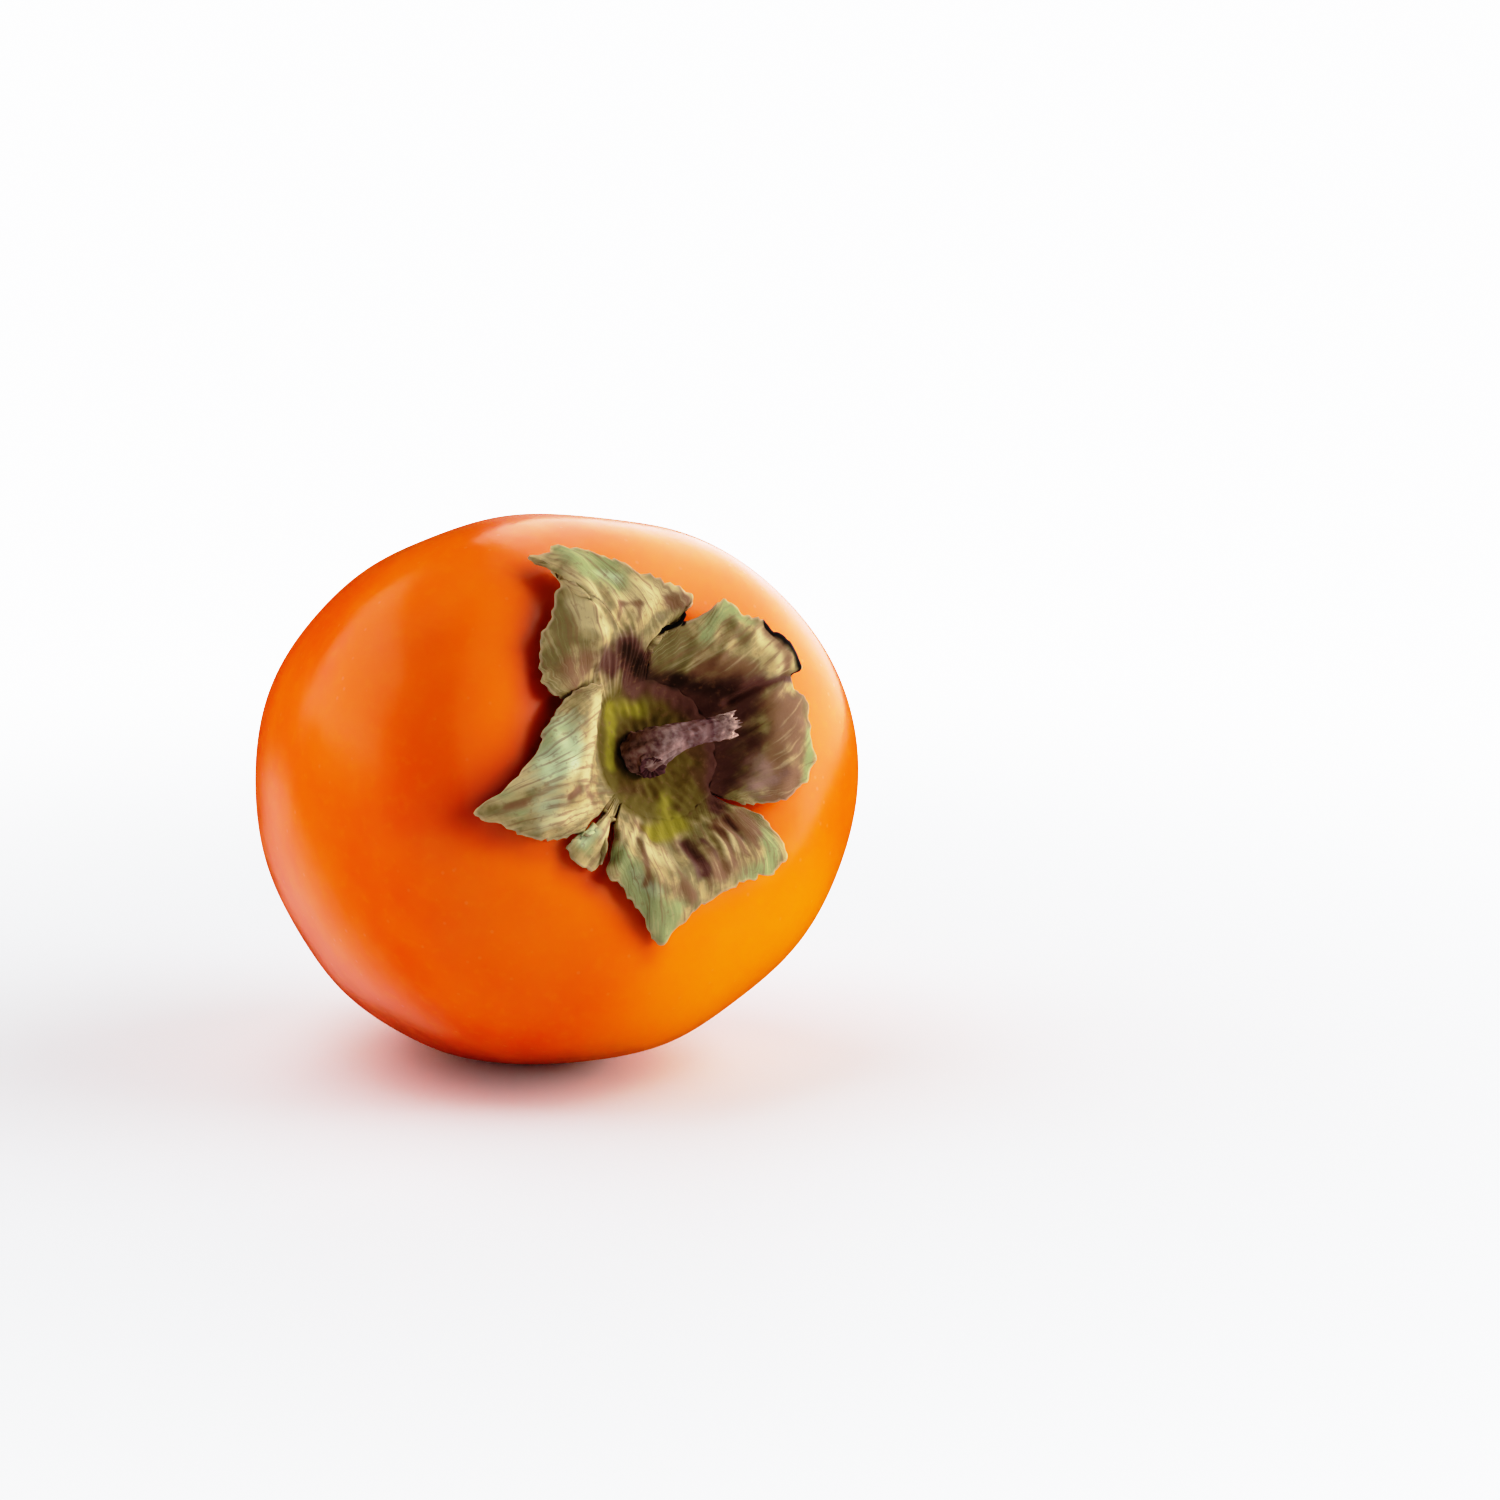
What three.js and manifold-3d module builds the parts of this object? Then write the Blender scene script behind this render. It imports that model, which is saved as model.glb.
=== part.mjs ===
// A ripe kaki persimmon, as picked, lying on its side.
// It is one fruit, the four-lobed calyx that dried on its crown, and the cut woody stalk.
// Units are millimetres and +Z is up. The origin is the middle of the small flat the fruit rests on.
//
// Each piece is first shaped in the fruit's own frame: its third axis runs out of the crown along the
// fruit's core, and zero is the middle of the widest section. Lift is a height above the skin.

import * as THREE from 'three';
import { mergeVertices } from 'three/addons/utils/BufferGeometryUtils.js';
import Module from 'manifold-3d';

const wasm = await Module();
wasm.setup();

// ---------------------------------------------------------------- driving dimensions

// Fruit body: a full crown over a longer, heart-shaped tail.
const FRUIT_RADIUS = 38.2;      // mean radius of the widest section
const CROWN_HEIGHT = 28.4;      // widest section to the top of the crown, before the hollow
const TAIL_LENGTH = 50.3;       // widest section to the tip
const CROWN_FULLNESS = 2.5;     // 2 is an ellipse, more is squarer
const TAIL_FULLNESS = 1.91;
const HOLLOW_DEPTH = 9.9;       // the calyx sits in a soft hollow in the crown
const HOLLOW_SPREAD = 16;
const TIP_HEIGHT = 0.9;         // the dried style leaves a small point at the tip
const TIP_SPREAD = 2.2;

// Fruit section: not quite round, as [lobes, share of the radius, direction in degrees].
const GIRTH_WAVES = [
  [2, 0.05, -1.6],
  [3, 0.028, 12.7],
  [4, 0.006, 47],
];
const CROWN_SLOPE = [-0.0096, 0.02];    // the shoulders stand a little higher on one side
const TIP_DRIFT = [1.77, 0.07];         // the tip is a little off the core

// How it lies: the core points forwards and up, and the widest section's middle is here.
const CORE_RISE = 20.1;                 // degrees above the horizontal
const FRUIT_CENTRE = [2.06, -8.39, 37.75];

// Calyx: a disc round the stalk and lobes that rise, fold over a crest and fall to their margins.
const LEAF_THICKNESS = 0.9;
const RING_RADIUS = 8.8;                // where the lobes leave the disc
const RING_LIFT = 1.6;
const DISC_UNDERSIDE = 0.45;            // lift of the disc's lower face, clear of the skin
const DISC_PROFILE = [                  // [radius, lift] from the middle, over the rim, and back
  [3, 1.75],
  [6, 1.75],
  [8.8, 1.68],
  [9.3, 1.2],
  [8.8, DISC_UNDERSIDE],
  [4.5, DISC_UNDERSIDE],
];
const WALL_REACH = 0.75;                // the wall stands this far out towards the crest
const WALL_RISE = 0.35;
const SHOULDER_REACH = 0.45;            // past the crest the blade stays high this far out
const SHOULDER_FALL = 0.12;

// Each lobe: its stretch of the ring in degrees, its crest and its margin as [degrees, radius, lift].
const LOBES = {
  upperLeft: {
    ring: [89, 146],
    crest: [[90, 12.2, 2.8], [98.5, 13.3, 4.6], [108, 14.5, 5.6], [126, 16.3, 5.8], [145, 15, 2.4]],
    margin: [
      [91, 13.2, 2.8], [90, 14.6, 4], [82, 15.6, 4.8], [75, 17.6, 5.3], [75.5, 19.4, 5.3],
      [88, 21.5, 4.6], [99, 24.6, 4.2], [106, 28.2, 3.4], [112.5, 29.6, 3.1], [118.8, 30.1, 3],
      [116.8, 28.2, 2.6], [118, 25.3, 2.3], [122.5, 24.5, 2.2], [129, 23.4, 2.1], [137, 22.8, 2],
      [146, 21.3, 1.9], [152, 19.4, 1.9], [153, 17, 1.9], [146, 14.6, 1.8],
    ],
  },
  left: {
    ring: [146, 211],
    crest: [
      [137, 12.3, 4.6], [149, 11.8, 5.4], [170, 12, 5.6], [189, 14, 5], [199, 15.2, 3.6],
      [210, 13.6, 2.2],
    ],
    margin: [
      [136, 12.8, 4.4], [142, 14.6, 3.8], [153, 16.8, 3], [165, 18.9, 2.4], [175, 20.6, 2.1],
      [184, 24.6, 1.8], [189, 29.4, 1.6], [195, 27.4, 1.6], [202, 24.6, 1.6], [207.8, 21.1, 1.6],
      [209.6, 17.6, 1.7], [211, 13.8, 1.8],
    ],
  },
  tornFlap: {
    ring: [212, 218],
    crest: [[212.5, 13.4, 1.9], [215, 13.6, 2.3], [217.5, 13.4, 1.9]],
    margin: [
      [212.5, 14, 1.8], [211.4, 17.6, 1.8], [210, 21.1, 1.6], [215, 22, 1.6], [223.5, 20.6, 1.6],
      [221.5, 17.4, 1.7], [217.7, 14, 1.8],
    ],
  },
  lower: {
    ring: [220, 316],
    crest: [
      [221, 13, 2.2], [230, 15.6, 3.2], [243, 16.4, 4], [264, 15.3, 4], [288, 13.4, 3.8],
      [303, 12.6, 3.2], [315, 11.6, 2],
    ],
    margin: [
      [221.5, 13.4, 1.9], [225, 17.4, 1.8], [228, 20, 1.8], [236, 21, 1.8], [246, 22.9, 1.7],
      [254, 25.7, 1.6], [261, 23, 1.8], [272, 20.4, 2.4], [288, 19.9, 2.9], [300, 21.2, 3],
      [310, 21.4, 2.8], [315, 18, 2.6], [317, 14.5, 2.4], [316, 12, 2],
    ],
  },
  right: {
    ring: [-43, 90],
    crest: [
      [-43, 11.4, 2.2], [-23, 12.4, 4], [0, 13.8, 4.8], [15, 14.6, 5], [33, 13.4, 5.6],
      [52, 12.2, 5.4], [73, 11.4, 3.8], [90, 10.8, 2.2],
    ],
    margin: [
      [-43, 11.8, 2], [-38, 14.5, 2.2], [-31, 17.8, 2.1], [-20, 21.2, 1.9], [-10, 22.2, 1.9],
      [0, 22.3, 2], [9, 22.2, 2.2], [15, 21, 3], [21, 22.2, 4.4], [31, 22, 5.2], [42, 20.9, 5.4],
      [51, 19.9, 5.3], [59, 20.3, 5.2], [65, 17.9, 4.6], [72, 16.3, 3.8], [81, 14.8, 3],
      [89, 13.4, 2.3], [91, 11.5, 2],
    ],
  },
};

// Stalk: a woody knob on the disc that bends to the right, with the stub of a cut side shoot.
const STALK_GAP = 0.4;                  // between the stalk's foot and the disc
const STALK_SIDES = 14;
const STALK_PATH = [
  [-1.9, 0, 20.2], [-2, 0, 22.6], [-0.8, 0.5, 24.8], [2.6, 1, 26], [5.6, 1.2, 26.9], [8.4, 1.4, 27.8],
];
const STALK_RADII = [3, 2.9, 2.3, 1.6, 1.45, 1.55];
const STUB_PATH = [[-1.9, -0.3, 22.4], [-2.5, -1.4, 23.6], [-2.9, -2.4, 24.4]];
const STUB_RADII = [1.6, 1.8, 1.7];

// How finely the curved faces are divided.
const FRUIT_SEGMENTS = 56;
const CROWN_RINGS = 20;
const TAIL_RINGS = 22;
const DISC_SEGMENTS = 40;
const LOBE_ROWS = 8;
const COLUMNS_PER_SPAN = 2;             // between two neighbouring points of a lobe's margin
const STALK_STEPS = 12;
const STUB_STEPS = 4;

// ---------------------------------------------------------------- helpers

const radians = THREE.MathUtils.degToRad;

/** The point at an angle in degrees and a radius round the core, at a height. */
function aroundCore(degrees, radius, height) {
  return new THREE.Vector3(radius * Math.cos(radians(degrees)), radius * Math.sin(radians(degrees)), height);
}

/** A smooth curve through a list of points. */
function smoothCurve(points) {
  return new THREE.CatmullRomCurve3(points, false, 'catmullrom', 0.5);
}

/** An indexed geometry from points and triangles. */
function indexedGeometry(points, triangles) {
  const geometry = new THREE.BufferGeometry().setFromPoints(points);
  geometry.setIndex(triangles);
  return geometry;
}

/** A closed body from rings of points, given first to last, with a pole at each end. */
function ringedBody(firstPole, rings, lastPole) {
  const segments = rings[0].length;
  const points = [firstPole, ...rings.flat(), lastPole];
  const last = points.length - 1;
  const triangles = [];
  for (let k = 0; k < segments; k += 1) {
    const next = (k + 1) % segments;
    triangles.push(0, 1 + k, 1 + next);
    for (let ring = 0; ring < rings.length - 1; ring += 1) {
      const here = 1 + ring * segments;
      const beyond = here + segments;
      triangles.push(here + k, beyond + k, beyond + next, here + k, beyond + next, here + next);
    }
    const end = last - segments;
    triangles.push(end + k, last, end + next);
  }
  return indexedGeometry(points, triangles);
}

/** A thin closed blade: a grid of upper points, the same grid one thickness below, and a rim. */
function bladeBody(rows, thickness) {
  const columns = rows[0].length;
  const upper = rows.flat();
  const faces = [];
  for (let row = 0; row < rows.length - 1; row += 1) {
    for (let column = 0; column < columns - 1; column += 1) {
      const a = row * columns + column;
      const c = a + columns;
      faces.push([a, c, c + 1], [a, c + 1, a + 1]);
    }
  }
  const sheet = indexedGeometry(upper, faces.flat());
  sheet.computeVertexNormals();
  const normals = sheet.getAttribute('normal');
  const lower = upper.map((point, k) => {
    const normal = new THREE.Vector3().fromBufferAttribute(normals, k);
    return point.clone().addScaledVector(normal, -thickness);
  });
  const count = upper.length;
  const triangles = faces.flat();
  faces.forEach(([a, b, c]) => triangles.push(a + count, c + count, b + count));
  const rim = [];
  for (let column = 0; column < columns; column += 1) rim.push(column);
  for (let row = 1; row < rows.length; row += 1) rim.push(row * columns + columns - 1);
  for (let column = columns - 2; column >= 0; column -= 1) rim.push((rows.length - 1) * columns + column);
  for (let row = rows.length - 2; row > 0; row -= 1) rim.push(row * columns);
  rim.forEach((a, k) => {
    const b = rim[(k + 1) % rim.length];
    triangles.push(a, b, b + count, a, b + count, a + count);
  });
  return indexedGeometry([...upper, ...lower], triangles);
}

/** A solid for cutting and joining, from a closed geometry. */
function solidFrom(geometry) {
  const bare = geometry.clone();
  bare.deleteAttribute('normal');
  bare.deleteAttribute('uv');
  const merged = mergeVertices(bare, 1e-5);
  return new wasm.Manifold(new wasm.Mesh({
    numProp: 3,
    vertProperties: Float32Array.from(merged.getAttribute('position').array),
    triVerts: Uint32Array.from(merged.getIndex().array),
  }));
}

/** The geometry of a solid. */
function geometryFrom(solid) {
  const { vertProperties, triVerts } = solid.getMesh();
  const geometry = new THREE.BufferGeometry();
  geometry.setAttribute('position', new THREE.BufferAttribute(Float32Array.from(vertProperties), 3));
  geometry.setIndex(new THREE.BufferAttribute(Uint32Array.from(triVerts), 1));
  return geometry;
}

// ---------------------------------------------------------------- fruit

/** How much wider than round the fruit is in one direction round the core. */
function girth(angle) {
  return GIRTH_WAVES.reduce(
    (sum, [lobes, share, direction]) => sum + share * Math.cos(lobes * (angle - radians(direction))),
    1,
  );
}

/** The hollow's depth at a radius that counts the girth out. */
function hollowAt(radius) {
  return HOLLOW_DEPTH * Math.exp(-((radius / HOLLOW_SPREAD) ** 2));
}

/** The crown's height over the widest section, with its slope, at a point round the core. */
function skinHeight(x, y) {
  const radius = Math.hypot(x, y) / girth(Math.atan2(y, x));
  const share = Math.min(radius / FRUIT_RADIUS, 0.9999);
  const level = CROWN_HEIGHT * (1 - share ** CROWN_FULLNESS) ** (1 / CROWN_FULLNESS) - hollowAt(radius);
  return level * (1 + (CROWN_SLOPE[0] * x + CROWN_SLOPE[1] * y) / CROWN_HEIGHT);
}

/** A point of the crown, from the pole (0) to the widest section (1). */
function crownPoint(step, angle) {
  const turn = (Math.PI / 2) * step ** (CROWN_FULLNESS / 2);
  const radius = FRUIT_RADIUS * Math.sin(turn) ** (2 / CROWN_FULLNESS);
  const level = CROWN_HEIGHT * Math.cos(turn) ** (2 / CROWN_FULLNESS) - hollowAt(radius);
  const x = radius * girth(angle) * Math.cos(angle);
  const y = radius * girth(angle) * Math.sin(angle);
  const slope = (CROWN_SLOPE[0] * x + CROWN_SLOPE[1] * y) * Math.max(level / CROWN_HEIGHT, 0);
  return new THREE.Vector3(x, y, level + slope);
}

/** A point of the tail, from the widest section (0) to the tip (1). */
function tailPoint(step, angle) {
  const turn = (Math.PI / 2) * (1 - step);
  const radius = FRUIT_RADIUS * Math.sin(turn) ** (2 / TAIL_FULLNESS);
  const depth = TAIL_LENGTH * Math.cos(turn) ** (2 / TAIL_FULLNESS);
  const drift = (depth / TAIL_LENGTH) ** 2;
  const point = TIP_HEIGHT * Math.exp(-((radius / TIP_SPREAD) ** 2));
  return new THREE.Vector3(
    radius * girth(angle) * Math.cos(angle) + TIP_DRIFT[0] * drift,
    radius * girth(angle) * Math.sin(angle) + TIP_DRIFT[1] * drift,
    -depth - point,
  );
}

/** A ring of points at equal angles. */
function ringOf(count, pointAt) {
  return Array.from({ length: count }, (_, k) => pointAt((2 * Math.PI * k) / count));
}

/** The move from the fruit's own frame to how it lies. */
function lying() {
  const move = new THREE.Matrix4().makeRotationX(radians(90 - CORE_RISE));
  return move.setPosition(...FRUIT_CENTRE);
}

/** The whole fruit, with the small flat it rests on. */
function fruitGeometry() {
  const rings = [];
  for (let k = 1; k <= CROWN_RINGS; k += 1) {
    rings.push(ringOf(FRUIT_SEGMENTS, (angle) => crownPoint(k / CROWN_RINGS, angle)));
  }
  for (let k = 1; k < TAIL_RINGS; k += 1) {
    rings.push(ringOf(FRUIT_SEGMENTS, (angle) => tailPoint(k / TAIL_RINGS, angle)));
  }
  const body = ringedBody(crownPoint(0, 0), rings, tailPoint(1, 0)).applyMatrix4(lying());
  const floorSize = 4 * FRUIT_RADIUS;
  const floor = new THREE.BoxGeometry(floorSize, floorSize, floorSize);
  floor.translate(0, 0, -floorSize / 2);
  return geometryFrom(solidFrom(body).subtract(solidFrom(floor)));
}

// ---------------------------------------------------------------- calyx

/** A point at a lift above the skin. */
function aboveSkin(point) {
  return new THREE.Vector3(point.x, point.y, point.z + skinHeight(point.x, point.y));
}

/** A point part of the way from one point to another, with its own share for the lift. */
function between(from, to, reach, rise) {
  return new THREE.Vector3(
    THREE.MathUtils.lerp(from.x, to.x, reach),
    THREE.MathUtils.lerp(from.y, to.y, reach),
    THREE.MathUtils.lerp(from.z, to.z, rise),
  );
}

/** One rib of a lobe: up the wall from the ring, over the crest and down to the margin, in even steps. */
function ribPoints(ring, crest, margin, steps) {
  const wall = between(ring, crest, WALL_REACH, WALL_RISE);
  const shoulder = between(crest, margin, SHOULDER_REACH, SHOULDER_FALL);
  const beforeCrest = between(wall, crest, 0.5, 0.5);
  const afterCrest = between(crest, shoulder, 0.5, 0.5);
  const top = between(beforeCrest, afterCrest, 0.5, 0.5);
  const inner = new THREE.CubicBezierCurve3(ring, wall, beforeCrest, top);
  const outer = new THREE.CubicBezierCurve3(top, afterCrest, shoulder, margin);
  return Array.from({ length: steps + 1 }, (_, k) => {
    const along = (2 * k) / steps;
    return along <= 1 ? inner.getPoint(along) : outer.getPoint(along - 1);
  });
}

/** One lobe as a thin closed blade over the skin. */
function lobeGeometry({ ring, crest, margin }) {
  const crestCurve = smoothCurve(crest.map((point) => aroundCore(...point)));
  const marginCurve = smoothCurve(margin.map((point) => aroundCore(...point)));
  const columns = COLUMNS_PER_SPAN * (margin.length - 1);
  const ribs = Array.from({ length: columns + 1 }, (_, k) => {
    const across = k / columns;
    const start = aroundCore(THREE.MathUtils.lerp(ring[0], ring[1], across), RING_RADIUS, RING_LIFT);
    return ribPoints(start, crestCurve.getPoint(across), marginCurve.getPoint(across), LOBE_ROWS);
  });
  const rows = ribs[0].map((_, row) => ribs.map((rib) => aboveSkin(rib[row])));
  return bladeBody(rows, LEAF_THICKNESS);
}

/** The disc that the lobes leave, following the hollow. */
function discGeometry() {
  const rings = DISC_PROFILE.map(([radius, lift]) => (
    ringOf(DISC_SEGMENTS, (angle) => aboveSkin(aroundCore(THREE.MathUtils.radToDeg(angle), radius, lift)))
  ));
  const top = aboveSkin(aroundCore(0, 0, DISC_PROFILE[0][1]));
  const bottom = aboveSkin(aroundCore(0, 0, DISC_UNDERSIDE));
  return ringedBody(top, rings, bottom);
}

/** The calyx in one piece: every lobe joined to the disc. */
function calyxGeometry() {
  const lobes = Object.values(LOBES).map((lobe) => solidFrom(lobeGeometry(lobe)));
  const joined = lobes.reduce((body, lobe) => body.add(lobe), solidFrom(discGeometry()));
  return geometryFrom(joined).applyMatrix4(lying());
}

// ---------------------------------------------------------------- stalk

/** A round limb along a path, its radius given at each point of the path, closed at both ends. */
function limbGeometry(path, radii, steps) {
  const centreLine = smoothCurve(path.map((point) => new THREE.Vector3(...point)));
  const radiusLine = smoothCurve(radii.map((radius) => new THREE.Vector3(radius, 0, 0)));
  const rings = [];
  for (let k = 0; k <= steps; k += 1) {
    const middle = centreLine.getPoint(k / steps);
    const ahead = centreLine.getTangent(k / steps);
    const side = new THREE.Vector3(0, 1, 0).cross(ahead).normalize();
    const up = new THREE.Vector3().crossVectors(ahead, side);
    const radius = radiusLine.getPoint(k / steps).x;
    rings.push(ringOf(STALK_SIDES, (angle) => middle.clone()
      .addScaledVector(side, radius * Math.cos(angle))
      .addScaledVector(up, radius * Math.sin(angle))));
  }
  rings.reverse();
  return ringedBody(centreLine.getPoint(1), rings, centreLine.getPoint(0));
}

/** The stalk and its stub in one piece, the foot following the disc with a hair's gap. */
function stalkGeometry() {
  const stalk = limbGeometry(STALK_PATH, STALK_RADII, STALK_STEPS);
  const points = stalk.getAttribute('position');
  const discTop = DISC_PROFILE[0][1];
  for (let k = 0; k < points.count; k += 1) {
    const foot = skinHeight(points.getX(k), points.getY(k)) + discTop + STALK_GAP;
    points.setZ(k, Math.max(points.getZ(k), foot));
  }
  const stub = limbGeometry(STUB_PATH, STUB_RADII, STUB_STEPS);
  return geometryFrom(solidFrom(stalk).add(solidFrom(stub))).applyMatrix4(lying());
}

// ---------------------------------------------------------------- assembly

/** A named piece with a matt or glossy natural finish. */
function piece(name, geometry, color, roughness) {
  const mesh = new THREE.Mesh(geometry, new THREE.MeshStandardMaterial({ color, roughness, metalness: 0 }));
  mesh.name = name;
  return mesh;
}

const persimmon = new THREE.Group();
persimmon.add(piece('fruit', fruitGeometry(), '#e0661a', 0.35));
persimmon.add(piece('calyx', calyxGeometry(), '#958a5c', 0.85));
persimmon.add(piece('stem', stalkGeometry(), '#5f473c', 0.9));

export default persimmon;
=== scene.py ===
"""A ripe kaki persimmon, as picked, lying on its side: the fruit, its dried calyx and the cut stalk."""

import bpy
import numpy as np
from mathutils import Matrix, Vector


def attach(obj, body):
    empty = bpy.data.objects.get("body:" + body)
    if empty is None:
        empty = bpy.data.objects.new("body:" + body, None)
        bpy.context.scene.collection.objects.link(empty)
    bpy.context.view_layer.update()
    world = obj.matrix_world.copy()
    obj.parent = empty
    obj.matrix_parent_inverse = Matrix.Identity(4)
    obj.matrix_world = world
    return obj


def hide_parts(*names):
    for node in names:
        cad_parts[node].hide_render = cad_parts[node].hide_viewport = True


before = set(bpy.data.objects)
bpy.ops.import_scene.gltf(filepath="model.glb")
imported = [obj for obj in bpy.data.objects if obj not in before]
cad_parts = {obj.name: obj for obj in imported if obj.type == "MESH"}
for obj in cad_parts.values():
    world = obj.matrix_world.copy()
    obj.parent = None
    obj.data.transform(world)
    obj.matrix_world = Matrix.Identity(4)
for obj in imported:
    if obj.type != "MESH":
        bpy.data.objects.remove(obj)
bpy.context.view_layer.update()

# ---------------------------------------------------------------------------------------------
# Fruit
#
# One fleshy berry under a thin waxy skin: a full crown with a soft hollow, a long heart-shaped
# tail, and a black point at the tip where the flower's style dried. It grew in one piece and
# lies on a small flat of its own. Shapes are worked out in millimetres in the fruit's own frame,
# whose third axis runs out of the crown along the core, and are then laid down in metres.
# ---------------------------------------------------------------------------------------------

MM = 0.001

FRUIT_RADIUS = 38.2          # mean radius of the widest section
CROWN_HEIGHT = 28.4
TAIL_LENGTH = 50.3
CROWN_FULLNESS = 2.5         # 2 is an ellipse, more is squarer
TAIL_FULLNESS = 1.91
HOLLOW_DEPTH = 9.9
HOLLOW_SPREAD = 16.0
TIP_HEIGHT = 0.9             # the dried style
TIP_SPREAD = 2.2
GIRTH_WAVES = ((2, 0.05, -1.6), (3, 0.028, 12.7), (4, 0.006, 47.0))
CROWN_SLOPE = (-0.0096, 0.02)
TIP_DRIFT = (1.77, 0.07)
CORE_RISE = 20.1             # degrees above the horizontal
FRUIT_CENTRE = np.array([2.06, -8.39, 37.75])

CROWN_RINGS = 120
TAIL_RINGS = 130
FRUIT_SEGMENTS = 320
LUMP_DEPTH = 0.22            # the skin is never quite even
LUMP_LENGTH = 24.0
CALYX_REACH = 24.0           # how far from the core the calyx lies on the skin
REST_BLEND = 0.25            # how softly the skin turns into the flat it rests on

SKIN_DEEP = "#e65902"        # red orange of the riper side
SKIN_RIPE = "#ee6a04"
SKIN_LIGHT = "#f27a08"       # yellower, near the crown
SKIN_BOUNCE_YELLOW = "#f88306"      # painted bounce light on the side facing the table and the right
SKIN_SHADOW_AND_HALO = "#a8330a"       # painted shadow beside the calyx, and the real brown halo round the tip
BOUNCE_LIGHT_SIDE = (0.32, -0.58, -0.75)   # the way the side with painted bounce light faces
TIP_DARK = "#2a1510"
BLOOM = "#f6d9c0"            # pale waxy dust


def linear(hexcode):
    """An sRGB hex colour as linear RGBA."""
    srgb = np.array([int(hexcode[k:k + 2], 16) for k in (1, 3, 5)]) / 255
    rgb = np.where(srgb <= 0.04045, srgb / 12.92, ((srgb + 0.055) / 1.055) ** 2.4)
    return (*rgb.tolist(), 1.0)


def girth(angle):
    """How much wider than round the section is: one plus a cosine wave for each lobe count."""
    return 1 + sum(share * np.cos(lobes * (angle - np.radians(way))) for lobes, share, way in GIRTH_WAVES)


def hollow_at(radius):
    """The crown's hollow: a bell curve of the radius."""
    return HOLLOW_DEPTH * np.exp(-(radius / HOLLOW_SPREAD) ** 2)


def skin_height(x, y):
    """Height of the crown over the widest section: a superellipse less the hollow, gently sloped."""
    radius = np.hypot(x, y) / girth(np.arctan2(y, x))
    share = np.clip(radius / FRUIT_RADIUS, 0, 0.9999)
    level = CROWN_HEIGHT * (1 - share ** CROWN_FULLNESS) ** (1 / CROWN_FULLNESS) - hollow_at(radius)
    return level * (1 + (CROWN_SLOPE[0] * x + CROWN_SLOPE[1] * y) / CROWN_HEIGHT)


def crown_points(step, angle):
    """The crown from the pole (step 0) to the widest section (1), as a superellipse turned round the core."""
    turn = np.pi / 2 * step ** (CROWN_FULLNESS / 2)
    radius = FRUIT_RADIUS * np.sin(turn) ** (2 / CROWN_FULLNESS)
    level = CROWN_HEIGHT * np.abs(np.cos(turn)) ** (2 / CROWN_FULLNESS) - hollow_at(radius)
    x = radius * girth(angle) * np.cos(angle)
    y = radius * girth(angle) * np.sin(angle)
    slope = (CROWN_SLOPE[0] * x + CROWN_SLOPE[1] * y) * np.maximum(level / CROWN_HEIGHT, 0)
    return np.stack([x, y, level + slope], -1)


def tail_points(step, angle):
    """The tail from the widest section (0) to the tip (1), the section drifting off the core as it goes."""
    turn = np.pi / 2 * (1 - step)
    radius = FRUIT_RADIUS * np.sin(turn) ** (2 / TAIL_FULLNESS)
    depth = TAIL_LENGTH * np.cos(turn) ** (2 / TAIL_FULLNESS)
    drift = (depth / TAIL_LENGTH) ** 2
    point = TIP_HEIGHT * np.exp(-(radius / TIP_SPREAD) ** 2)
    x = radius * girth(angle) * np.cos(angle) + TIP_DRIFT[0] * drift
    y = radius * girth(angle) * np.sin(angle) + TIP_DRIFT[1] * drift
    return np.stack([x, y, -depth - point + 0 * angle], -1)


def lie(points):
    """Lays points of the fruit's own frame down: the core tips to point forwards and a little up."""
    rise = np.radians(CORE_RISE)
    x, y, z = points[..., 0], points[..., 1], points[..., 2]
    turned = np.stack([x, y * np.sin(rise) - z * np.cos(rise), y * np.cos(rise) + z * np.sin(rise)], -1)
    return (turned + FRUIT_CENTRE) * MM


def ripples(points, length, seed, count=14):
    """A smooth random field from -1 to 1 or so: many sine waves of like length in seeded directions."""
    draw = np.random.default_rng(seed)
    ways = draw.normal(size=(count, points.shape[-1]))
    ways /= np.linalg.norm(ways, axis=1, keepdims=True)
    ways *= (2 * np.pi / length) * draw.uniform(0.7, 1.4, (count, 1))
    phases = draw.uniform(0, 2 * np.pi, count)
    return np.sin(points @ ways.T + phases).sum(-1) / np.sqrt(count)


def shell_faces(ring_count, segments):
    """Faces of a closed body of rings with a pole at each end; point 0 is the first pole."""
    here = 1 + np.arange(ring_count)[:, None] * segments + np.arange(segments)[None, :]
    beside = np.roll(here, -1, axis=1)
    walls = np.stack([here[:-1], here[1:], beside[1:], beside[:-1]], -1).reshape(-1, 4)
    last = 1 + ring_count * segments
    cap = np.stack([np.zeros(segments, int), here[0], beside[0]], -1)
    base = np.stack([here[-1], np.full(segments, last), beside[-1]], -1)
    return walls.tolist() + cap.tolist() + base.tolist()


def mesh_piece(name, points, faces, values=None, flat_map=None):
    """A smooth-shaded piece at the origin, with its point values and an optional flat map of its surface."""
    mesh = bpy.data.meshes.new(name)
    mesh.from_pydata(points.tolist(), [], faces)
    mesh.update()
    mesh.shade_smooth()
    for key, numbers in (values or {}).items():
        mesh.attributes.new(key, "FLOAT", "POINT").data.foreach_set("value", np.ravel(numbers))
    if flat_map is not None:
        corner_points = np.empty(len(mesh.loops), int)
        mesh.loops.foreach_get("vertex_index", corner_points)
        layer = mesh.uv_layers.new(name="surface")
        layer.data.foreach_set("uv", flat_map[corner_points].ravel())
    piece = bpy.data.objects.new(name, mesh)
    bpy.context.scene.collection.objects.link(piece)
    return piece


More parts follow.
